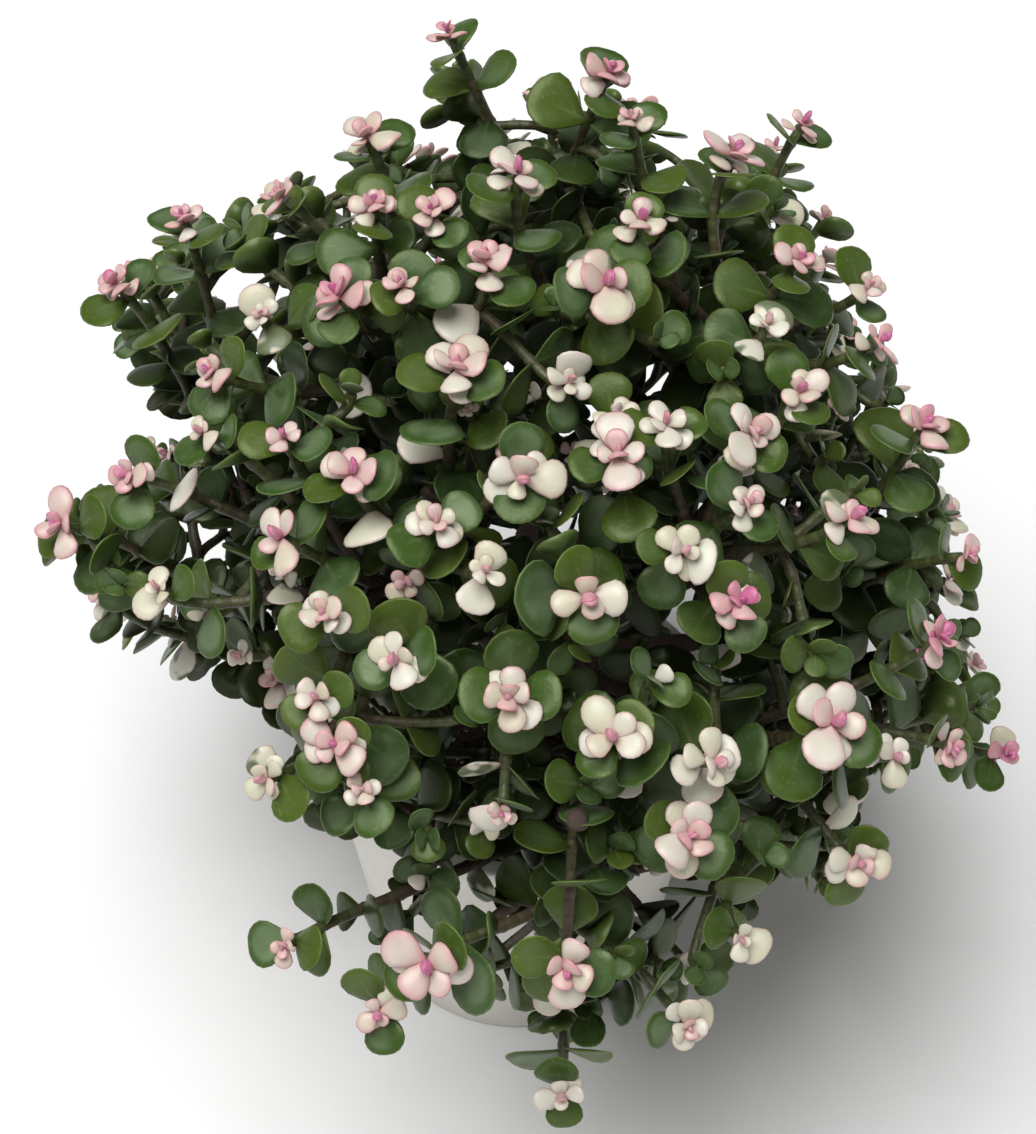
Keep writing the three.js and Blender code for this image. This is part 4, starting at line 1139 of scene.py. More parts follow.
def stem_finish(look):
    """Olive green at the tip, then reddish brown, then grey-brown bark, with darker rings of old scars."""
    material, tree, shader = new_material("shoot_bark")
    # A stem's age and shade value holds its age alone; no shade is painted on the stems
    age_and_shade, run = kept(tree, "age_and_shade"), kept(tree, "run")
    streaks = grain(tree, GRAIN["bark_streak"], 3.0).outputs["Fac"]
    old = sum_of(tree, "ADD", age_and_shade, sum_of(tree, "MULTIPLY_ADD", streaks, 0.3, -0.15), clamp=True)
    base = mixed(tree, spread_over(tree, old, 0.05, 0.3), look.stem_green, look.stem_red)
    base = mixed(tree, spread_over(tree, old, 0.4, 0.85), base, look.bark_brown)
    rings = sum_of(tree, "SINE", sum_of(tree, "MULTIPLY", run, 2 * math.pi / SCAR_SPACING))
    base = mixed(tree, spread_over(tree, rings, 0.7, 1.0, 0, 0.4), base, look.bark_dark)
    base = mixed(tree, spread_over(tree, streaks, 0.55, 0.75, 0, 0.4), base, look.bark_pale)
    feed(tree, shader.inputs["Base Color"], base)
    feed(tree, shader.inputs["Roughness"], spread_over(tree, old, 0.0, 0.7, 0.45, 0.85))
    fine = grain(tree, GRAIN["bark_speck"], 3.0).outputs["Fac"]
    height = sum_of(tree, "ADD", fine, sum_of(tree, "MULTIPLY", rings, -0.35))
    bumped(tree, shader, height, 0.6, 0.0004)
    return material


def soil_finish(look):
    material, tree, shader = new_material("dark_potting_soil")
    clods = grain(tree, GRAIN["clod"], 4.0, 0.7).outputs["Fac"]
    base = mixed(tree, spread_over(tree, clods, 0.3, 0.7), look.soil_dark, look.soil_brown)
    feed(tree, shader.inputs["Base Color"], base)
    shader.inputs["Roughness"].default_value = 0.95
    bumped(tree, shader, clods, 0.9, 0.0012)
    return material


def crumb_finish(look):
    """Bark chips and pale grit, told apart by each crumb's own tone."""
    material, tree, shader = new_material("soil_crumbs")
    tone = kept(tree, "tone")
    base = mixed(tree, spread_over(tree, tone, 0.1, 0.75), look.soil_dark, look.bark_brown)
    base = mixed(tree, spread_over(tree, tone, 0.84, 0.86), base, look.grit_pale)
    feed(tree, shader.inputs["Base Color"], base)
    feed(tree, shader.inputs["Roughness"], spread_over(tree, tone, 0.0, 1.0, 0.95, 0.8))
    bumped(tree, shader, grain(tree, GRAIN["crumb"], 2.0).outputs["Fac"], 0.5, 0.0004)
    return material


def pot_finish(look):
    """Plain off-white glazed clay, very slightly clouded."""
    material, tree, shader = new_material("off_white_pot")
    clouds = grain(tree, GRAIN["glaze_cloud"], 3.0).outputs["Fac"]
    fine = grain(tree, GRAIN["glaze_fleck"], 2.0).outputs["Fac"]
    base = mixed(tree, spread_over(tree, clouds, 0.35, 0.7, 0, 0.6), look.pot_white, look.pot_shade)
    base = mixed(tree, spread_over(tree, fine, 0.62, 0.74, 0, 0.18), base, look.pot_fleck)
    feed(tree, shader.inputs["Base Color"], base)
    feed(tree, shader.inputs["Roughness"], spread_over(tree, clouds, 0.3, 0.7, 0.42, 0.56))
    bumped(tree, shader, fine, 0.12, 0.0002)
    return material


# What a user would change

def colour(name, description, value):
    return bpy.props.FloatVectorProperty(
        name=name, description=description, default=(*value, 1), size=4, min=0, max=1, subtype="COLOR")


def length(name, description, value):
    return bpy.props.FloatProperty(name=name, description=description, default=value, min=0, unit="LENGTH")


def share(name, description, value):
    return bpy.props.FloatProperty(
        name=name, description=description, default=value, min=0, max=1, subtype="FACTOR")


class FoliageSettings(bpy.types.PropertyGroup):
    """Colours and sheen of the leaves."""
    young_green: colour("Young green", "Green leaves near a shoot's tip", (0.032, 0.069, 0.0064))
    # The old green is the real colour of leaves far down a shoot, and a painted shade on leaves deep in the
    # crown
    old_and_shaded_green: colour("Old green", "Green leaves far down a shoot", (0.0060, 0.0142, 0.0008))
    cool_green: colour("Cool green", "The bluer of the green leaves", (0.030, 0.064, 0.022))
    warm_green: colour("Warm green", "The yellower of the green leaves", (0.062, 0.092, 0.010))
    # The bloom colour is partly a real waxy bloom and partly a painted sheen in the middle of each leaf
    bloom_and_sheen_green: colour("Bloom", "Waxy patches on a green leaf", (0.108, 0.158, 0.080))
    # The margin colour also paints a highlight along the crease in the middle of each leaf
    pale_margin_and_crease_highlight: colour("Margin", "A green leaf's rim, rib and specks", (0.170, 0.230, 0.080))
    underside: colour("Underside", "The lower face of a green leaf", (0.060, 0.088, 0.022))
    cream: colour("Cream", "The whiter of the cream leaves", (0.61, 0.60, 0.51))
    ivory: colour("Ivory", "The yellower of the cream leaves", (0.54, 0.53, 0.39))
    pink: colour("Pink", "A cream leaf with a strong blush", (0.57, 0.325, 0.33))
    rim_pink: colour("Rim", "The rim of a cream leaf", (0.54, 0.20, 0.26))
    magenta: colour("Magenta", "The youngest leaves of a rosette", (0.47, 0.11, 0.25))
    stem_green: colour("Stem green", "A stem near its tip", (0.058, 0.072, 0.020))
    stem_red: colour("Stem red", "A stem further down", (0.056, 0.036, 0.019))
    bark_brown: colour("Bark", "The oldest stems and the trunk", (0.050, 0.034, 0.024))
    bark_dark: colour("Bark scars", "Old leaf scars round a stem", (0.020, 0.013, 0.009))
    bark_pale: colour("Bark streaks", "Dry streaks in the bark", (0.105, 0.080, 0.056))
    shine_tint: colour("Shine tint", "The tint of the light that a green leaf reflects", (0.9, 1, 0.66))
    leaf_roughness: share("Leaf roughness", "How satin a green leaf is", 0.4)
    leaf_shine: share("Leaf shine", "How strongly a green leaf reflects the light", 0.38)
    petal_roughness: share("Petal roughness", "How satin a cream leaf is", 0.42)
    petal_glow: share("Petal glow", "How much light passes through a cream leaf", 0.25)
    unevenness: length("Unevenness", "How far a leaf's points stray from its shape", 0.0005)


class PotSettings(bpy.types.PropertyGroup):
    """Colours and sizes of the pot and what fills it."""
    pot_white: colour("Pot", "The pot's own colour", (0.72, 0.70, 0.65))
    pot_shade: colour("Pot clouds", "The darker clouds in the glaze", (0.64, 0.61, 0.55))
    pot_fleck: colour("Pot flecks", "Tiny flecks in the glaze", (0.45, 0.41, 0.35))
    soil_dark: colour("Soil", "Damp soil", (0.022, 0.016, 0.011))
    soil_brown: colour("Dry soil", "Drier soil", (0.075, 0.052, 0.036))
    bark_brown: colour("Bark chips", "Chips of bark in the soil", (0.13, 0.085, 0.055))
    grit_pale: colour("Grit", "Pale grit in the soil", (0.62, 0.60, 0.55))
    facets: bpy.props.IntProperty(
        name="Facets", description="Sides of the turned pot", default=96, min=24, max=256)
    lip_round: length("Lip rounding", "How far the lip's edges are rounded", 0.0009)
    crumbs: bpy.props.IntProperty(
        name="Crumbs", description="How many crumbs lie on the soil", default=1300, min=0, max=4000)


class StudioSettings(bpy.types.PropertyGroup):
    """The floor, the lights and the camera."""
    floor_white: colour("Floor", "The floor's colour", (0.76, 0.76, 0.76))
    floor_cloud: colour("Floor clouds", "The faint clouds in the floor", (0.74, 0.74, 0.74))
    floor_size: length("Floor size", "Width of the floor", 60.0)
    key_strength: bpy.props.FloatProperty(
        name="Key light", description="Strength of the soft light from above", default=4.0, min=0)
    key_width: bpy.props.FloatProperty(
        name="Key width", description="How wide the light from above looks from the plant",
        default=math.radians(46), min=0, max=math.pi, subtype="ANGLE")
    fill_power: bpy.props.FloatProperty(
        name="Fill light", description="Power of the light beside the camera", default=1.1, min=0,
        unit="POWER")
    sky: share("Sky", "Strength of the even light from all sides", 0.15)
    backdrop: share("Backdrop", "How bright the sky itself looks behind the plant", 1.0)


# The plant, grown once and shared by the operators

PLAN = {}


def plan():
    if not PLAN:
        branches, twigs = grow_plant()
        PLAN.update(branches=branches, twigs=twigs)
        PLAN["copies"], PLAN["tubes"] = copies_tree(), tubes_tree()
        PLAN["green_shapes"] = shape_set("green", GREEN_RINGS, GREEN_SHAPES)
        PLAN["cream_shapes"] = shape_set("cream", CREAM_RINGS, CREAM_SHAPES)
        PLAN["bud_shapes"] = shape_set("bud", CREAM_RINGS, BUD_SHAPES)
        look = bpy.context.scene.bush_foliage
        PLAN["green"], PLAN["cream"], PLAN["bark"] = green_finish(look), cream_finish(look), stem_finish(look)
    return PLAN


def every_shoot():
    grown_plan = plan()
    return [shoot for branch in grown_plan["branches"] for shoot in branch] + grown_plan["twigs"]


PALE_TIP = dict(blush=0.1, without_rosette=0.04)
CREAM_CHANCE = dict(pale_tip=0.75, other=0.04)
CREAM_LEAF = dict(share=0.84, plump=0.7, blush=0.12, blotched=0.3, blotch=0.85)
PLUMP = dict(least=0.9, range=0.25)
OLD_AT = 62
BY_SHOOT = 0.5
LEAF_ROLL = 0.5
FULL_SHADE_DEPTH = 0.36


def depth_of(place):
    """How deep a place lies in the crown, from 0 at its surface to 1 in its middle."""
    return 1 - apart((place - CROWN_MIDDLE) / CROWN_SHAPE, vec(0, 0, 0))


def is_cream(shoot, leaf, draw):
    """Whether a leaf down the shoot is cream: most first pairs of a pale tip, and a few others."""
    unblushed = shoot.tip.blush < PALE_TIP["blush"] and leaf.level == 0
    pale = unblushed and (shoot.petals or shoot.tip.blush < PALE_TIP["without_rosette"])
    return draw() < (CREAM_CHANCE["pale_tip"] if pale else CREAM_CHANCE["other"])


def sorted_leaves():
    """Rows of green leaves by branch, and of cream ones, each with its shape and finish."""
    if "green_rows" in PLAN:
        return PLAN
    branches = plan()["branches"]
    home = {id(shoot): i for i, branch in enumerate(branches) for shoot in branch}
    green_rows = [[] for _ in branches]
    cream_rows = []
    draw = draws(SEED * 3)
    for shoot in every_shoot():
        while id(shoot) not in home:
            home[id(shoot)] = home[id(shoot.parent)]
        for leaf in shoot.leaves:
            # A leaf's age and shade: how far down its shoot it stands, its real age, plus how deep it lies in
            # the crown, a painted shade
            age_and_shade = min(1, leaf.back / OLD_AT * BY_SHOOT + max(0, depth_of(leaf.middle) / FULL_SHADE_DEPTH))
            shape, tone, plump = draw(), draw(), PLUMP["least"] + PLUMP["range"] * draw()
            if is_cream(shoot, leaf, draw):
                blotch = CREAM_LEAF["blotch"] * (draw() < CREAM_LEAF["blotched"])
                leaf.length, leaf.width = leaf.length * CREAM_LEAF["share"], leaf.width * CREAM_LEAF["share"]
                finish = tone, age_and_shade, CREAM_LEAF["blush"] * draw(), blotch
                cream_rows.append((leaf, int(shape * SHAPES["cream"]), plump * CREAM_LEAF["plump"], finish))
            else:
                rolled(leaf, LEAF_ROLL * (draw() - 0.5))
                finish = tone, age_and_shade, 0, 0
                green_rows[home[id(shoot)]].append((leaf, int(shape * SHAPES["green"]), plump, finish))
    PLAN.update(green_rows=green_rows, cream_rows=cream_rows)
    return PLAN


PETAL_SHARE = 0.9
PETAL_ROLL = 0.5
# The four open leaves, then the pair that some rosettes have below them, the upright pair that most blushed
# ones have within them, the bud's two leaves, and the small ones down the stem of a magenta tip. Raised is
# how far up its shoot each stands, in millimetres.
OPEN = dict(turn=0.7, longer=0.5, slim=0.72, slim_range=0.16, plump=0.85, plump_range=0.2, flush=0.8,
            outer_flush=0, inner_flush=0.1, flush_range=0.16, outer_raised=-0.8, inner_raised=-0.2)
LOWER = dict(least_scale=0.7, chance=0.8, turn=0.5, length=7.4, range=2, slim=0.85, plump=0.85, flush=0.5,
             raised=-2.4, spread=1.45, spread_range=0.15)
UPRIGHT = dict(chance=0.3, chance_by_blush=0.9, turn=0.6, length=4.9, slim=0.8, raised=0.7, spread=0.5,
               spread_range=0.25, apart=0.15, flush=0.38, flush_by_blush=0.5, flush_range=0.15)
BUD = dict(length=3.4, range=0.8, alone=1.1, slim=0.62, raised=0.9, spread=0.16, flush=0.64,
           flush_range=0.34, flush_draw=0.4, uneven=0.0001, grain=200.0)
CLUSTER = dict(least_blush=0.75, count=6, first=1.5, step=1.3, length=3.6, shorter=0.25, slim=0.6,
               spread=1.0, spread_range=0.3, flush=0.9)


def rolled(leaf, turn):
    """Rolls a leaf about its own length."""
    across = leaf.across * math.cos(turn) + leaf.up * math.sin(turn)
    leaf.across, leaf.up = across, cross(leaf.along, across)
    return leaf


def rosette_rows(shoot, draw):
    """A rosette: its four open leaves, at times a lower pair, an upright pair, and a bud of two leaves."""
    at, heading = shoot.line.from_tip(0)
    scale, blush = shoot.rosette, shoot.tip.blush
    opened, buds = [], []

    def add(rows, kind, raised, turn, spread, long, wide, plump, flush):
        leaf = Leaf(at + heading * raised, heading, shoot.across, turn, spread, 0, long, wide, 1, 0,
                    shoot.number, 0)
        leaf = rolled(leaf, PETAL_ROLL * (draw() - 0.5))
        rows.append((leaf, int(draw() * SHAPES[kind]), plump, (draw(), 0, flush, 0)))

    for k, (turned, more, longer) in enumerate(shoot.varies):
        place = "inner" if k % 2 else "outer"
        spread = PETAL[f"{place}_spread"] + more * PETAL_VARIES["spread"]
        long = ROSETTE[place] * scale * PETAL_SHARE * (1 + longer * OPEN["longer"])
        turn = shoot.turn + k * math.pi / 2 + turned * OPEN["turn"]
        wide = long * (OPEN["slim"] + OPEN["slim_range"] * draw())
        plump = OPEN["plump"] + OPEN["plump_range"] * draw()
        flush = blush * OPEN["flush"] + OPEN[f"{place}_flush"] + OPEN["flush_range"] * (draw() - 0.5)
        add(opened, "cream", OPEN[f"{place}_raised"], turn, spread, long, wide, plump, flush)
    if scale > LOWER["least_scale"] and draw() < LOWER["chance"]:
        for side in (0, 2):
            turn = shoot.turn + (side + 0.5) * math.pi / 2 + LOWER["turn"] * (draw() - 0.5)
            long = (LOWER["length"] + LOWER["range"] * draw()) * scale * PETAL_SHARE
            spread = LOWER["spread"] + LOWER["spread_range"] * draw()
            add(opened, "cream", LOWER["raised"], turn, spread, long, long * LOWER["slim"], LOWER["plump"],
                blush * LOWER["flush"])
    layered = draw() < UPRIGHT["chance"] + UPRIGHT["chance_by_blush"] * blush
    lean = UPRIGHT["spread"] + UPRIGHT["spread_range"] * draw()
    turn = shoot.turn + UPRIGHT["turn"] * (draw() - 0.5)
    for side in (0, 2) if layered else ():
        long = (UPRIGHT["length"] + draw()) * scale
        spread = lean + UPRIGHT["apart"] * draw()
        flush = UPRIGHT["flush"] + UPRIGHT["flush_by_blush"] * blush + UPRIGHT["flush_range"] * draw()
        add(opened, "cream", UPRIGHT["raised"], turn + side * math.pi / 2, spread, long,
            long * UPRIGHT["slim"], 1, flush)
    for side in (1, 3):
        long = (BUD["length"] + BUD["range"] * draw() + (0 if layered else BUD["alone"])) * scale
        spread = BUD["spread"] + BUD["spread"] * draw()
        flush = BUD["flush"] + BUD["flush_range"] * min(1, blush + BUD["flush_draw"] * draw())
        add(buds, "bud", BUD["raised"], turn + side * math.pi / 2, spread, long, long * BUD["slim"], 1, flush)
    if blush > CLUSTER["least_blush"]:
        for k in range(CLUSTER["count"]):
            back = CLUSTER["first"] + CLUSTER["step"] * k
            long = CLUSTER["length"] - CLUSTER["shorter"] * k
            turn = draw() * 2 * math.pi
            spread = CLUSTER["spread"] + CLUSTER["spread_range"] * draw()
            add(buds, "bud", -back, turn, spread, long, long * CLUSTER["slim"], 1, CLUSTER["flush"])
    return opened, buds


STEM = dict(end=0.6, step=4, fewest=4, beside=1.3, swelling=0.24, swelling_reach=1.2, collar=0.3,
            collar_reach=3, brown_at=130, sides=8, uneven=0.0004, grain=320.0)


def stem_rows(shoot):
    """A shoot's line from its foot to its tip, thicker at each pair of leaves and where it forks off."""
    nodes = sorted({leaf.back for leaf in shoot.leaves})
    end, beside, reach = STEM["end"], STEM["beside"], STEM["swelling_reach"]
    backs = set(np.linspace(shoot.base, end, max(STEM["fewest"], int(shoot.base / STEM["step"]))).tolist())
    for back in nodes:
        backs |= {back - beside, back, back + beside}
    rows = []
    for back in sorted((b for b in backs if end <= b <= shoot.base), reverse=True):
        swelling = STEM["swelling"] * max([math.exp(-((back - spot) / reach) ** 2) for spot in nodes] or [0])
        to_foot = (shoot.base - back) / STEM["collar_reach"]
        collar = STEM["collar"] * math.exp(-to_foot ** 2) if shoot.forked else 0
        radius = shoot.radius_at(back) * (1 + swelling + collar)
        rows.append((shoot.line.from_tip(back)[0], radius, min(1, back / STEM["brown_at"]), back))
    return rows


# Pieces

SHARP_FROM = math.radians(50)


class BUSH_OT_pot(bpy.types.Operator):
    """Turn the pot with its rounded lip, and cut its drain holes"""
    bl_idname = "bush.pot"
    bl_label = "Pot"

    def execute(self, context):
        look = context.scene.bush_pot
        under = POT["height"] - POT["lip_height"]
        r = look.lip_round / MM
        thick, lip = POT["wall"], POT["lip"]
        rim, top = POT["rim"], POT["height"]
        profile = [
            (0, 0.8), (pot_side(0) - 3.4, 0.8), (pot_side(0) - 2.8, 0), (pot_side(0) - 0.9, 0),
            (pot_side(0) - 0.2, 0.3), (pot_side(1), 1.2), *((pot_side(z), z) for z in (8, 24, 40, 56, 70)),
            (pot_side(under) - 0.1, under - 0.6), (pot_side(under) + 0.4, under),
            (pot_side(under) + lip - r, under + POT["lip_slope"] - 0.2),
            (pot_side(under) + lip, under + POT["lip_slope"] + r),
            (rim + lip - 0.05, top - r - 0.6), (rim + lip - 0.4, top - 0.35), (rim + lip - r - 0.3, top),
            (rim - thick + r, top), (rim - thick + 0.2, top - 0.3), (rim - thick, top - r - 0.3),
            *((pot_side(z) - thick, z) for z in (80, 60, 40, 20, 6)),
            (pot_side(POT["floor"]) - thick - 1.2, POT["floor"] + 0.3), (pot_side(0) - 8, POT["floor"]),
            (0, POT["floor"]),
        ]
        pot = link(bpy.data.objects.new("turned_pot", turned(profile, look.facets, "turned_pot")))
        pot.data.materials.append(pot_finish(look))
        cutters = []
        for i in range(DRAIN["count"]):
            turn = 2 * math.pi * (i + 0.5) / DRAIN["count"]
            hole = bmesh.new()
            x, y = DRAIN["ring"] * math.cos(turn), DRAIN["ring"] * math.sin(turn)
            place = Matrix.Translation(Vector((x, y, DRAIN["cut_at"])) * MM)
            radius = DRAIN["radius"] * MM
            bmesh.ops.create_cone(hole, cap_ends=True, segments=DRAIN["sides"], radius1=radius,
                                  radius2=radius, depth=DRAIN["cut_depth"], matrix=place)
            mesh = bpy.data.meshes.new("drain")
            hole.to_mesh(mesh)
            hole.free()
            cutter = link(bpy.data.objects.new("drain", mesh))
            cutters.append(cutter)
            cut = pot.modifiers.new("Drain hole", "BOOLEAN")
            cut.object, cut.operation, cut.solver = cutter, "DIFFERENCE", "EXACT"
        depsgraph = context.evaluated_depsgraph_get()
        mesh = bpy.data.meshes.new_from_object(pot.evaluated_get(depsgraph), depsgraph=depsgraph)
        pot.modifiers.clear()
        pot.data = mesh
        mesh.shade_smooth()
        mesh.set_sharp_from_angle(angle=SHARP_FROM)
        for cutter in cutters:
            bpy.data.objects.remove(cutter)
        seat(pot, "pot", "pot")
        return {"FINISHED"}


def turned(profile, sides, name):
    """A closed mesh of a profile in millimetres turned round the upright axis. Its ends lie on the axis."""
    rows = profile[1:-1]
    places = [(0, 0, profile[0][1] * MM)]
    for out, z in rows:
        for i in range(sides):
            turn = 2 * math.pi * i / sides
            places.append((out * math.cos(turn) * MM, out * math.sin(turn) * MM, z * MM))
    places.append((0, 0, profile[-1][1] * MM))
    last = len(places) - 1
    faces = []
    for i in range(sides):
        j = (i + 1) % sides
        faces.append((0, 1 + j, 1 + i))
        for k in range(len(rows) - 1):
            low, high = 1 + k * sides, 1 + (k + 1) * sides
            faces.append((low + i, low + j, high + j, high + i))
        top = 1 + (len(rows) - 1) * sides
        faces.append((top + i, top + j, last))
    mesh = bpy.data.meshes.new(name)
    mesh.from_pydata(places, [], faces)
    return mesh


SOIL_BED = dict(rings=40, seed=52, roll=0.7, rough_seed=53, rough=0.00035, rough_from=1.5, rim=0.985)
CRUMB = dict(shapes=5, reach=0.97, raised=0.3, shortest=1.1, range=2.6, small_power=3, wide=0.55,
             wide_range=0.4, tall=0.4, tall_range=0.3, corner=0.65, corner_range=0.6, tilt=0.4,
             upright=0.8, uneven=0.0003, grain=700.0)


class BUSH_OT_soil(bpy.types.Operator):
    """Fill the pot with crumbly soil, and scatter bark chips and grit on it"""
    bl_idname = "bush.soil"
    bl_label = "Soil"

    def execute(self, context):
        look = context.scene.bush_pot
        bottom = POT["floor"] + GAP
        outer = pot_side(SOIL["top"]) - POT["wall"] - GAP
        draw = draws(SOIL_BED["seed"])
        profile = [(0, bottom), (pot_side(bottom) - POT["wall"] - GAP - 1, bottom),
                   (outer - 1, SOIL["top"] - 3), (outer, SOIL["top"] - 1)]
        for k in range(SOIL_BED["rings"]):
            share = 1 - k / SOIL_BED["rings"]
            height = SOIL["top"] + SOIL["crown"] * (1 - share**2) + SOIL_BED["roll"] * (draw() - 0.5)
            profile.append((outer * share, height))
        profile.append((0, SOIL["top"] + SOIL["crown"]))
        mesh = turned(profile, look.facets, "soil_bed")
        mesh.shade_smooth()
        bed = link(bpy.data.objects.new("soil_bed", mesh))
        rough = np.random.default_rng(SOIL_BED["rough_seed"])
        low = (SOIL["top"] - SOIL_BED["rough_from"]) * MM
        for vertex in mesh.vertices:
            if vertex.co.z > low and vertex.co.xy.length < outer * MM * SOIL_BED["rim"]:
                vertex.co.z += float(rough.normal(0, SOIL_BED["rough"]))
        mesh.materials.append(soil_finish(look))
        seat(bed, "soil", "soil")

        crumbs = bpy.data.collections.new("crumb_shapes")
        for i in range(CRUMB["shapes"]):
            chip = bmesh.new()
            bmesh.ops.create_icosphere(chip, subdivisions=1, radius=0.5)
            for vertex in chip.verts:
                vertex.co *= CRUMB["corner"] + CRUMB["corner_range"] * draw()
            shape = bpy.data.meshes.new(f"crumb_{i}")
            chip.to_mesh(shape)
            chip.free()
            crumbs.objects.link(bpy.data.objects.new(f"crumb_{i}", shape))
        rows = []
        for i in range(look.crumbs):
            out = outer * CRUMB["reach"] * math.sqrt(draw())
            turn = i * GOLDEN_TURN
            height = SOIL["top"] + SOIL["crown"] * (1 - (out / outer) ** 2) + CRUMB["raised"]
            along = unit(vec(draw() - 0.5, draw() - 0.5, CRUMB["tilt"] * (draw() - 0.5)))
            up = squared(vec(draw() - 0.5, draw() - 0.5, CRUMB["upright"]), along)
            long = CRUMB["shortest"] + CRUMB["range"] * draw() ** CRUMB["small_power"]
            wide = long * (CRUMB["wide"] + CRUMB["wide_range"] * draw())
            tall = long * (CRUMB["tall"] + CRUMB["tall_range"] * draw())
            rows.append((vec(out * math.cos(turn), out * math.sin(turn), height), along, up,
                         (long * MM, wide * MM, tall * MM), int(draw() * CRUMB["shapes"]), draw()))
        carrier = bpy.data.meshes.new("crumb_points")
        carrier.from_pydata([tuple(row[0] * MM) for row in rows], [], [])
        store(carrier, "along", "FLOAT_VECTOR", [row[1] for row in rows])
        store(carrier, "up", "FLOAT_VECTOR", [row[2] for row in rows])
        store(carrier, "size", "FLOAT_VECTOR", [row[3] for row in rows])
        store(carrier, "shape", "INT", [row[4] for row in rows])
        store(carrier, "tone", "FLOAT", [row[5] for row in rows])
        chips = grown("soil_crumbs", carrier, plan()["copies"], Shapes=crumbs,
                      Unevenness=CRUMB["uneven"], Grain=CRUMB["grain"], Material=crumb_finish(look))
        seat(chips, "soil")
        return {"FINISHED"}


WOOD = dict(trunk_step=1.5, flare=1.4, flare_reach=5, sway=0.5, sway_x=9, sway_y=7, limb_step=2.5, scar=0.18,
            scar_gap=3.4, scar_power=6, sides=16, uneven=0.0013, grain=190.0)
STUB = dict(x=578, y=820, sunk=8, radius=2.3, bulge=0.5, bulge_at=3, bulge_reach=2, step=2.0, shaft_end=1.5,
            rounding=0.75, round_reach=0.8)
STUB_END = [1.2, 0.5, 0.2, 0]


def pruned_stub():
    """The cut stump of an old shoot, which shows between the leaves, from the nearest limb to its end."""
    end = seen_place(STUB["x"], STUB["y"], STUB["sunk"])
    limbs = [(branch[0].line, back) for branch in plan()["branches"]
             for back in np.arange(branch[0].base, branch[0].line.length, STUB["step"])]
    line, back = min(limbs, key=lambda limb: apart(limb[0].from_tip(limb[1])[0], end))
    foot, heading = line.from_tip(back)
    reach = apart(foot, end)
    bent = Line(foot, foot + heading * reach / 3, end - TOWARD_VIEW * reach / 3, end)
    rows = []
    for left in np.arange(bent.length, STUB["shaft_end"], -STUB["step"]).tolist() + STUB_END:
        swell = STUB["bulge"] * math.exp(-((left - STUB["bulge_at"]) / STUB["bulge_reach"]) ** 2)
        rounding = STUB["rounding"] * STUB["radius"] * max(0, 1 - left / STUB["round_reach"]) ** 2
        rows.append((bent.from_tip(left)[0], STUB["radius"] + swell - rounding, 1, left))
    return sorted(rows, key=lambda row: -row[3])


class BUSH_OT_wood(bpy.types.Operator):
    """Grow the trunk with its flared foot, and the limbs that it forks into"""
    bl_idname = "bush.wood"
    bl_label = "Trunk and limbs"

    def execute(self, context):
        lines = []
        trunk = []
        for z in np.arange(TRUNK["root"], TRUNK["top"] + 0.1, WOOD["trunk_step"]):
            share = (z - TRUNK["root"]) / (TRUNK["top"] - TRUNK["root"])
            radius = TRUNK["radius"] + (TRUNK["top_radius"] - TRUNK["radius"]) * share
            above = max(0, z - SOIL["top"] - SOIL["crown"])
            flare = WOOD["flare"] * math.exp(-above / WOOD["flare_reach"])
            x, y = WOOD["sway"] * math.sin(z / WOOD["sway_x"]), WOOD["sway"] * math.cos(z / WOOD["sway_y"])
            trunk.append((vec(x, y, z), radius + flare, 1, TRUNK["top"] - z))
        lines.append(trunk)
        for branch in plan()["branches"]:
            line, base = branch[0].line, branch[0].base
            rows = []
            for back in np.arange(line.length, base, -WOOD["limb_step"]).tolist() + [base]:
                share = (line.length - back) / (line.length - base)
                radius = LIMBS["radius"] + (LIMBS["end_radius"] - LIMBS["radius"]) * share
                scar = WOOD["scar"] * max(0, math.sin(back / WOOD["scar_gap"])) ** WOOD["scar_power"]
                rows.append((line.from_tip(back)[0], radius * (1 + scar), 1, back))
            lines.append(rows)
        lines.append(pruned_stub())
        wood = grown("woody_trunk_and_limbs", line_mesh("wood_lines", lines), plan()["tubes"],
                     Sides=WOOD["sides"], Unevenness=WOOD["uneven"], Grain=WOOD["grain"],
                     Material=PLAN["bark"])
        seat(wood, "bark", "trunk_and_limbs")
        return {"FINISHED"}


class BUSH_OT_shoots(bpy.types.Operator):
    """Grow the stems of the shoots and twigs"""
    bl_idname = "bush.shoots"
    bl_label = "Shoots"

    def execute(self, context):
        lines = [stem_rows(shoot) for shoot in every_shoot()]
        stems = grown("shoot_stems", line_mesh("stem_lines", lines), plan()["tubes"], Sides=STEM["sides"],
                      Unevenness=STEM["uneven"], Grain=STEM["grain"], Material=PLAN["bark"])
        seat(stems, "bark")
        return {"FINISHED"}


TOP_FROM = 0.75
LEAF_GRAIN = 95.0
PETAL_GRAIN = 140.0
PETAL_UNEVEN = 0.7


def side_of(branch):
    """Which side of the crown a branch grows to."""
    x, y, z = unit(sum(shoot.tip.out for shoot in branch))
    if z > TOP_FROM:
        return "top"
    if abs(x) > abs(y):
        return "right" if x > 0 else "left"
    return "back" if y > 0 else "front"


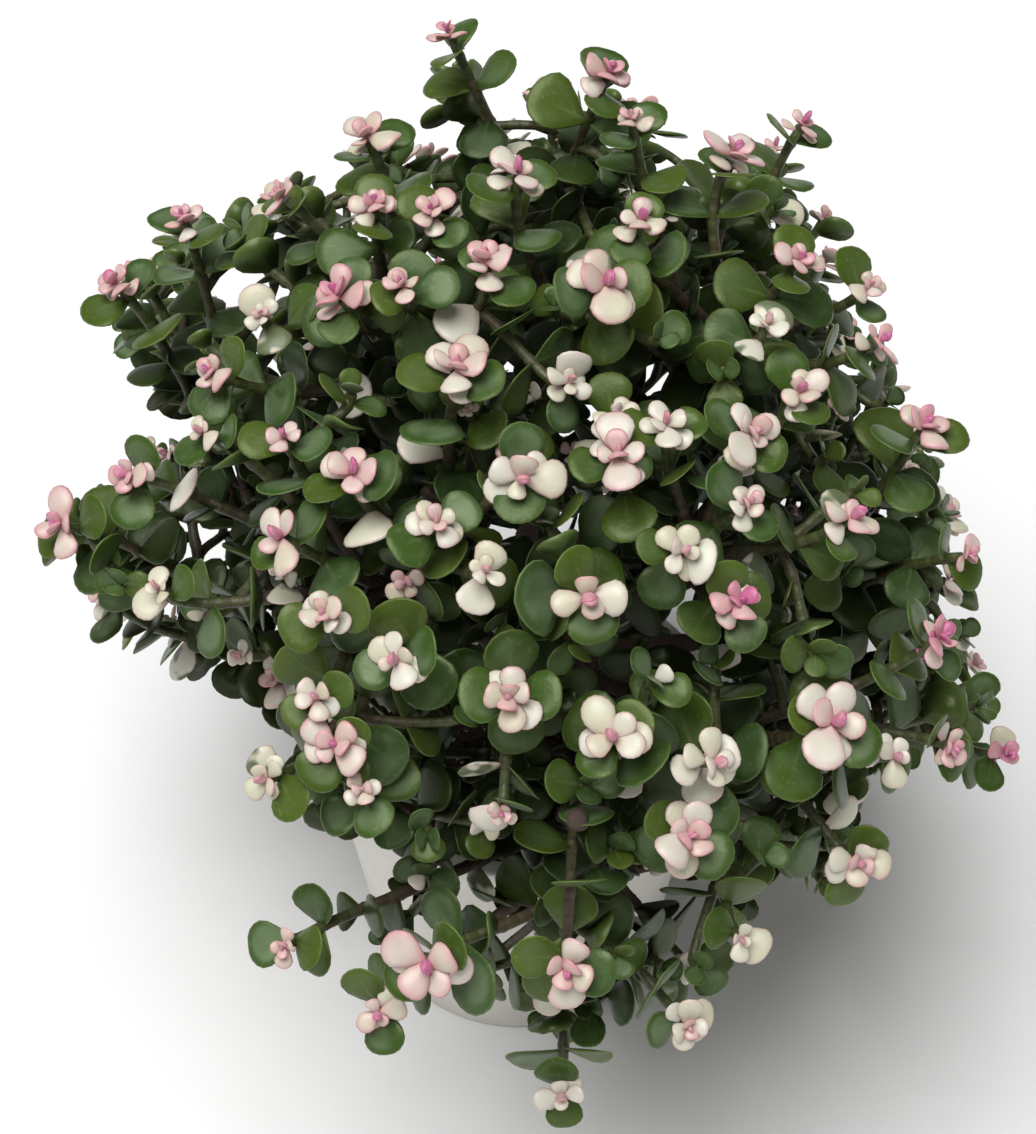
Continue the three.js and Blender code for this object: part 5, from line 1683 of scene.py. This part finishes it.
class BUSH_OT_green_leaves(bpy.types.Operator):
    """Set the green leaves along their shoots, branch by branch"""
    bl_idname = "bush.green_leaves"
    bl_label = "Green leaves"

    def execute(self, context):
        look = context.scene.bush_foliage
        green_rows = sorted_leaves()["green_rows"]
        for side in ("top", "front", "right", "back", "left"):
            branches = [i for i, branch in enumerate(PLAN["branches"]) if side_of(branch) == side]
            rows = [row for i in branches for row in green_rows[i]]
            name = f"green_leaves_{side}"
            leaves = grown(name, leaf_points(name, rows), PLAN["copies"], Shapes=PLAN["green_shapes"],
                           Unevenness=look.unevenness, Grain=LEAF_GRAIN, Material=PLAN["green"])
            seat(leaves, "leaf_green", *(f"leafy_branch_{i + 1:02d}" for i in branches))
        return {"FINISHED"}


class BUSH_OT_cream_leaves(bpy.types.Operator):
    """Set the cream leaves and the rosettes with their pink and magenta middles"""
    bl_idname = "bush.cream_leaves"
    bl_label = "Rosettes and cream leaves"

    def execute(self, context):
        look = context.scene.bush_foliage
        cream_rows = sorted_leaves()["cream_rows"]
        leaves = grown("cream_leaves", leaf_points("cream_leaves", cream_rows), PLAN["copies"],
                       Shapes=PLAN["cream_shapes"], Unevenness=look.unevenness, Grain=LEAF_GRAIN,
                       Material=PLAN["cream"])
        seat(leaves, "leaf_cream")
        opened, buds = [], []
        draw = draws(SEED * 4)
        for shoot in every_shoot():
            if shoot.petals:
                more_opened, more_buds = rosette_rows(shoot, draw)
                opened += more_opened
                buds += more_buds
        petals = grown("rosette_petals", leaf_points("rosette_petals", opened), PLAN["copies"],
                       Shapes=PLAN["cream_shapes"], Unevenness=look.unevenness * PETAL_UNEVEN,
                       Grain=PETAL_GRAIN, Material=PLAN["cream"])
        nodes = sorted(name for name in frame["nodes"] if name.startswith("rosette_"))
        seat(petals, "leaf_cream", *nodes)
        middles = grown("rosette_buds", leaf_points("rosette_buds", buds), PLAN["copies"],
                        Shapes=PLAN["bud_shapes"], Unevenness=BUD["uneven"], Grain=BUD["grain"],
                        Material=PLAN["cream"])
        seat(middles, "leaf_cream")
        return {"FINISHED"}


def lamp(name, kind, place, energy, **settings):
    """A light that looks at the middle of the crown."""
    light = bpy.data.lights.new(name, kind)
    light.energy = energy
    for key, value in settings.items():
        setattr(light, key, value)
    obj = link(bpy.data.objects.new(name, light))
    obj.location = place
    aim = Vector(CROWN_MIDDLE) * MM
    obj.rotation_euler = (aim - Vector(place)).to_track_quat("-Z", "Y").to_euler()


PHOTO_HEIGHT = 1134
SENSOR = 24.0
SEEN_FROM, SEEN_TO = 0.01, 50
KEY_FROM = (-0.3, -0.32, 1.6)
FILL_FROM = (0.5, -1.2, 0.8)
FILL_WIDTH = 1.0
SKY_COLOUR = (1, 0.99, 0.96, 1)


class BUSH_OT_studio(bpy.types.Operator):
    """Lay the pale floor, light it softly and stand the camera where the photograph was taken"""
    bl_idname = "bush.studio"
    bl_label = "Studio"

    def execute(self, context):
        look = context.scene.bush_studio
        mesh = bpy.data.meshes.new("studio_floor")
        half = look.floor_size / 2
        mesh.from_pydata([(-half, -half, 0), (half, -half, 0), (half, half, 0), (-half, half, 0)], [],
                         [(0, 1, 2, 3)])
        floor = link(bpy.data.objects.new("studio_floor", mesh))
        material, tree, shader = new_material("pale_floor")
        clouds = grain(tree, GRAIN["floor_cloud"]).outputs["Fac"]
        clouded = spread_over(tree, clouds, 0.3, 0.7, 0, 0.3)
        base = mixed(tree, clouded, look.floor_white, look.floor_cloud)
        feed(tree, shader.inputs["Base Color"], base)
        shader.inputs["Roughness"].default_value = 0.9
        shader.inputs["Specular IOR Level"].default_value = 0.1
        mesh.materials.append(material)

        lamp("key_light", "SUN", KEY_FROM, look.key_strength, angle=look.key_width)
        lamp("fill_light", "AREA", FILL_FROM, look.fill_power, shape="DISK", size=FILL_WIDTH)
        world = bpy.data.worlds.new("even_sky")
        world.use_nodes = True
        tree = world.node_tree
        seen = node(tree, "ShaderNodeLightPath").outputs["Is Camera Ray"]
        strength = spread_over(tree, seen, 0.0, 1.0, look.sky, look.backdrop)
        feed(tree, tree.nodes["Background"].inputs["Strength"], strength)
        tree.nodes["Background"].inputs["Color"].default_value = SKY_COLOUR
        context.scene.world = world
        context.scene.view_settings.view_transform = "Standard"

        camera = bpy.data.cameras.new("photo_camera")
        camera.sensor_fit = "VERTICAL"
        camera.sensor_height = SENSOR
        camera.lens = SENSOR * VIEW["pixels_per_mm"] * VIEW["distance"] / PHOTO_HEIGHT
        camera.clip_start, camera.clip_end = SEEN_FROM, SEEN_TO
        eye = link(bpy.data.objects.new("photo_camera", camera))
        eye.location = Vector((CROWN_MIDDLE + TOWARD_VIEW * VIEW["distance"]) * MM)
        eye.rotation_euler = (math.pi / 2 - LIFT, 0, 0)
        context.scene.camera = eye
        return {"FINISHED"}


PIECES = [BUSH_OT_pot, BUSH_OT_soil, BUSH_OT_wood, BUSH_OT_shoots, BUSH_OT_green_leaves,
          BUSH_OT_cream_leaves, BUSH_OT_studio]


class BUSH_PT_panel(bpy.types.Panel):
    """Everything that makes the potted bush"""
    bl_label = "Elephant bush"
    bl_idname = "BUSH_PT_panel"
    bl_space_type = "VIEW_3D"
    bl_region_type = "UI"
    bl_category = "Bush"

    def draw(self, context):
        for piece in PIECES:
            self.layout.operator(piece.bl_idname)
        for settings in (context.scene.bush_foliage, context.scene.bush_pot, context.scene.bush_studio):
            box = self.layout.box()
            for key in settings.__annotations__:
                box.prop(settings, key)


SETTINGS = dict(bush_foliage=FoliageSettings, bush_pot=PotSettings, bush_studio=StudioSettings)


def register():
    for made in [*SETTINGS.values(), *PIECES, BUSH_PT_panel]:
        bpy.utils.register_class(made)
    for key, settings in SETTINGS.items():
        setattr(bpy.types.Scene, key, bpy.props.PointerProperty(type=settings))


def unregister():
    for key in SETTINGS:
        delattr(bpy.types.Scene, key)
    for made in reversed([*SETTINGS.values(), *PIECES, BUSH_PT_panel]):
        bpy.utils.unregister_class(made)


def main():
    register()
    bpy.ops.bush.pot()
    bpy.ops.bush.soil()
    bpy.ops.bush.wood()
    bpy.ops.bush.shoots()
    bpy.ops.bush.green_leaves()
    bpy.ops.bush.cream_leaves()
    bpy.ops.bush.studio()
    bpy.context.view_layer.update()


if __name__ == "__main__":
    main()
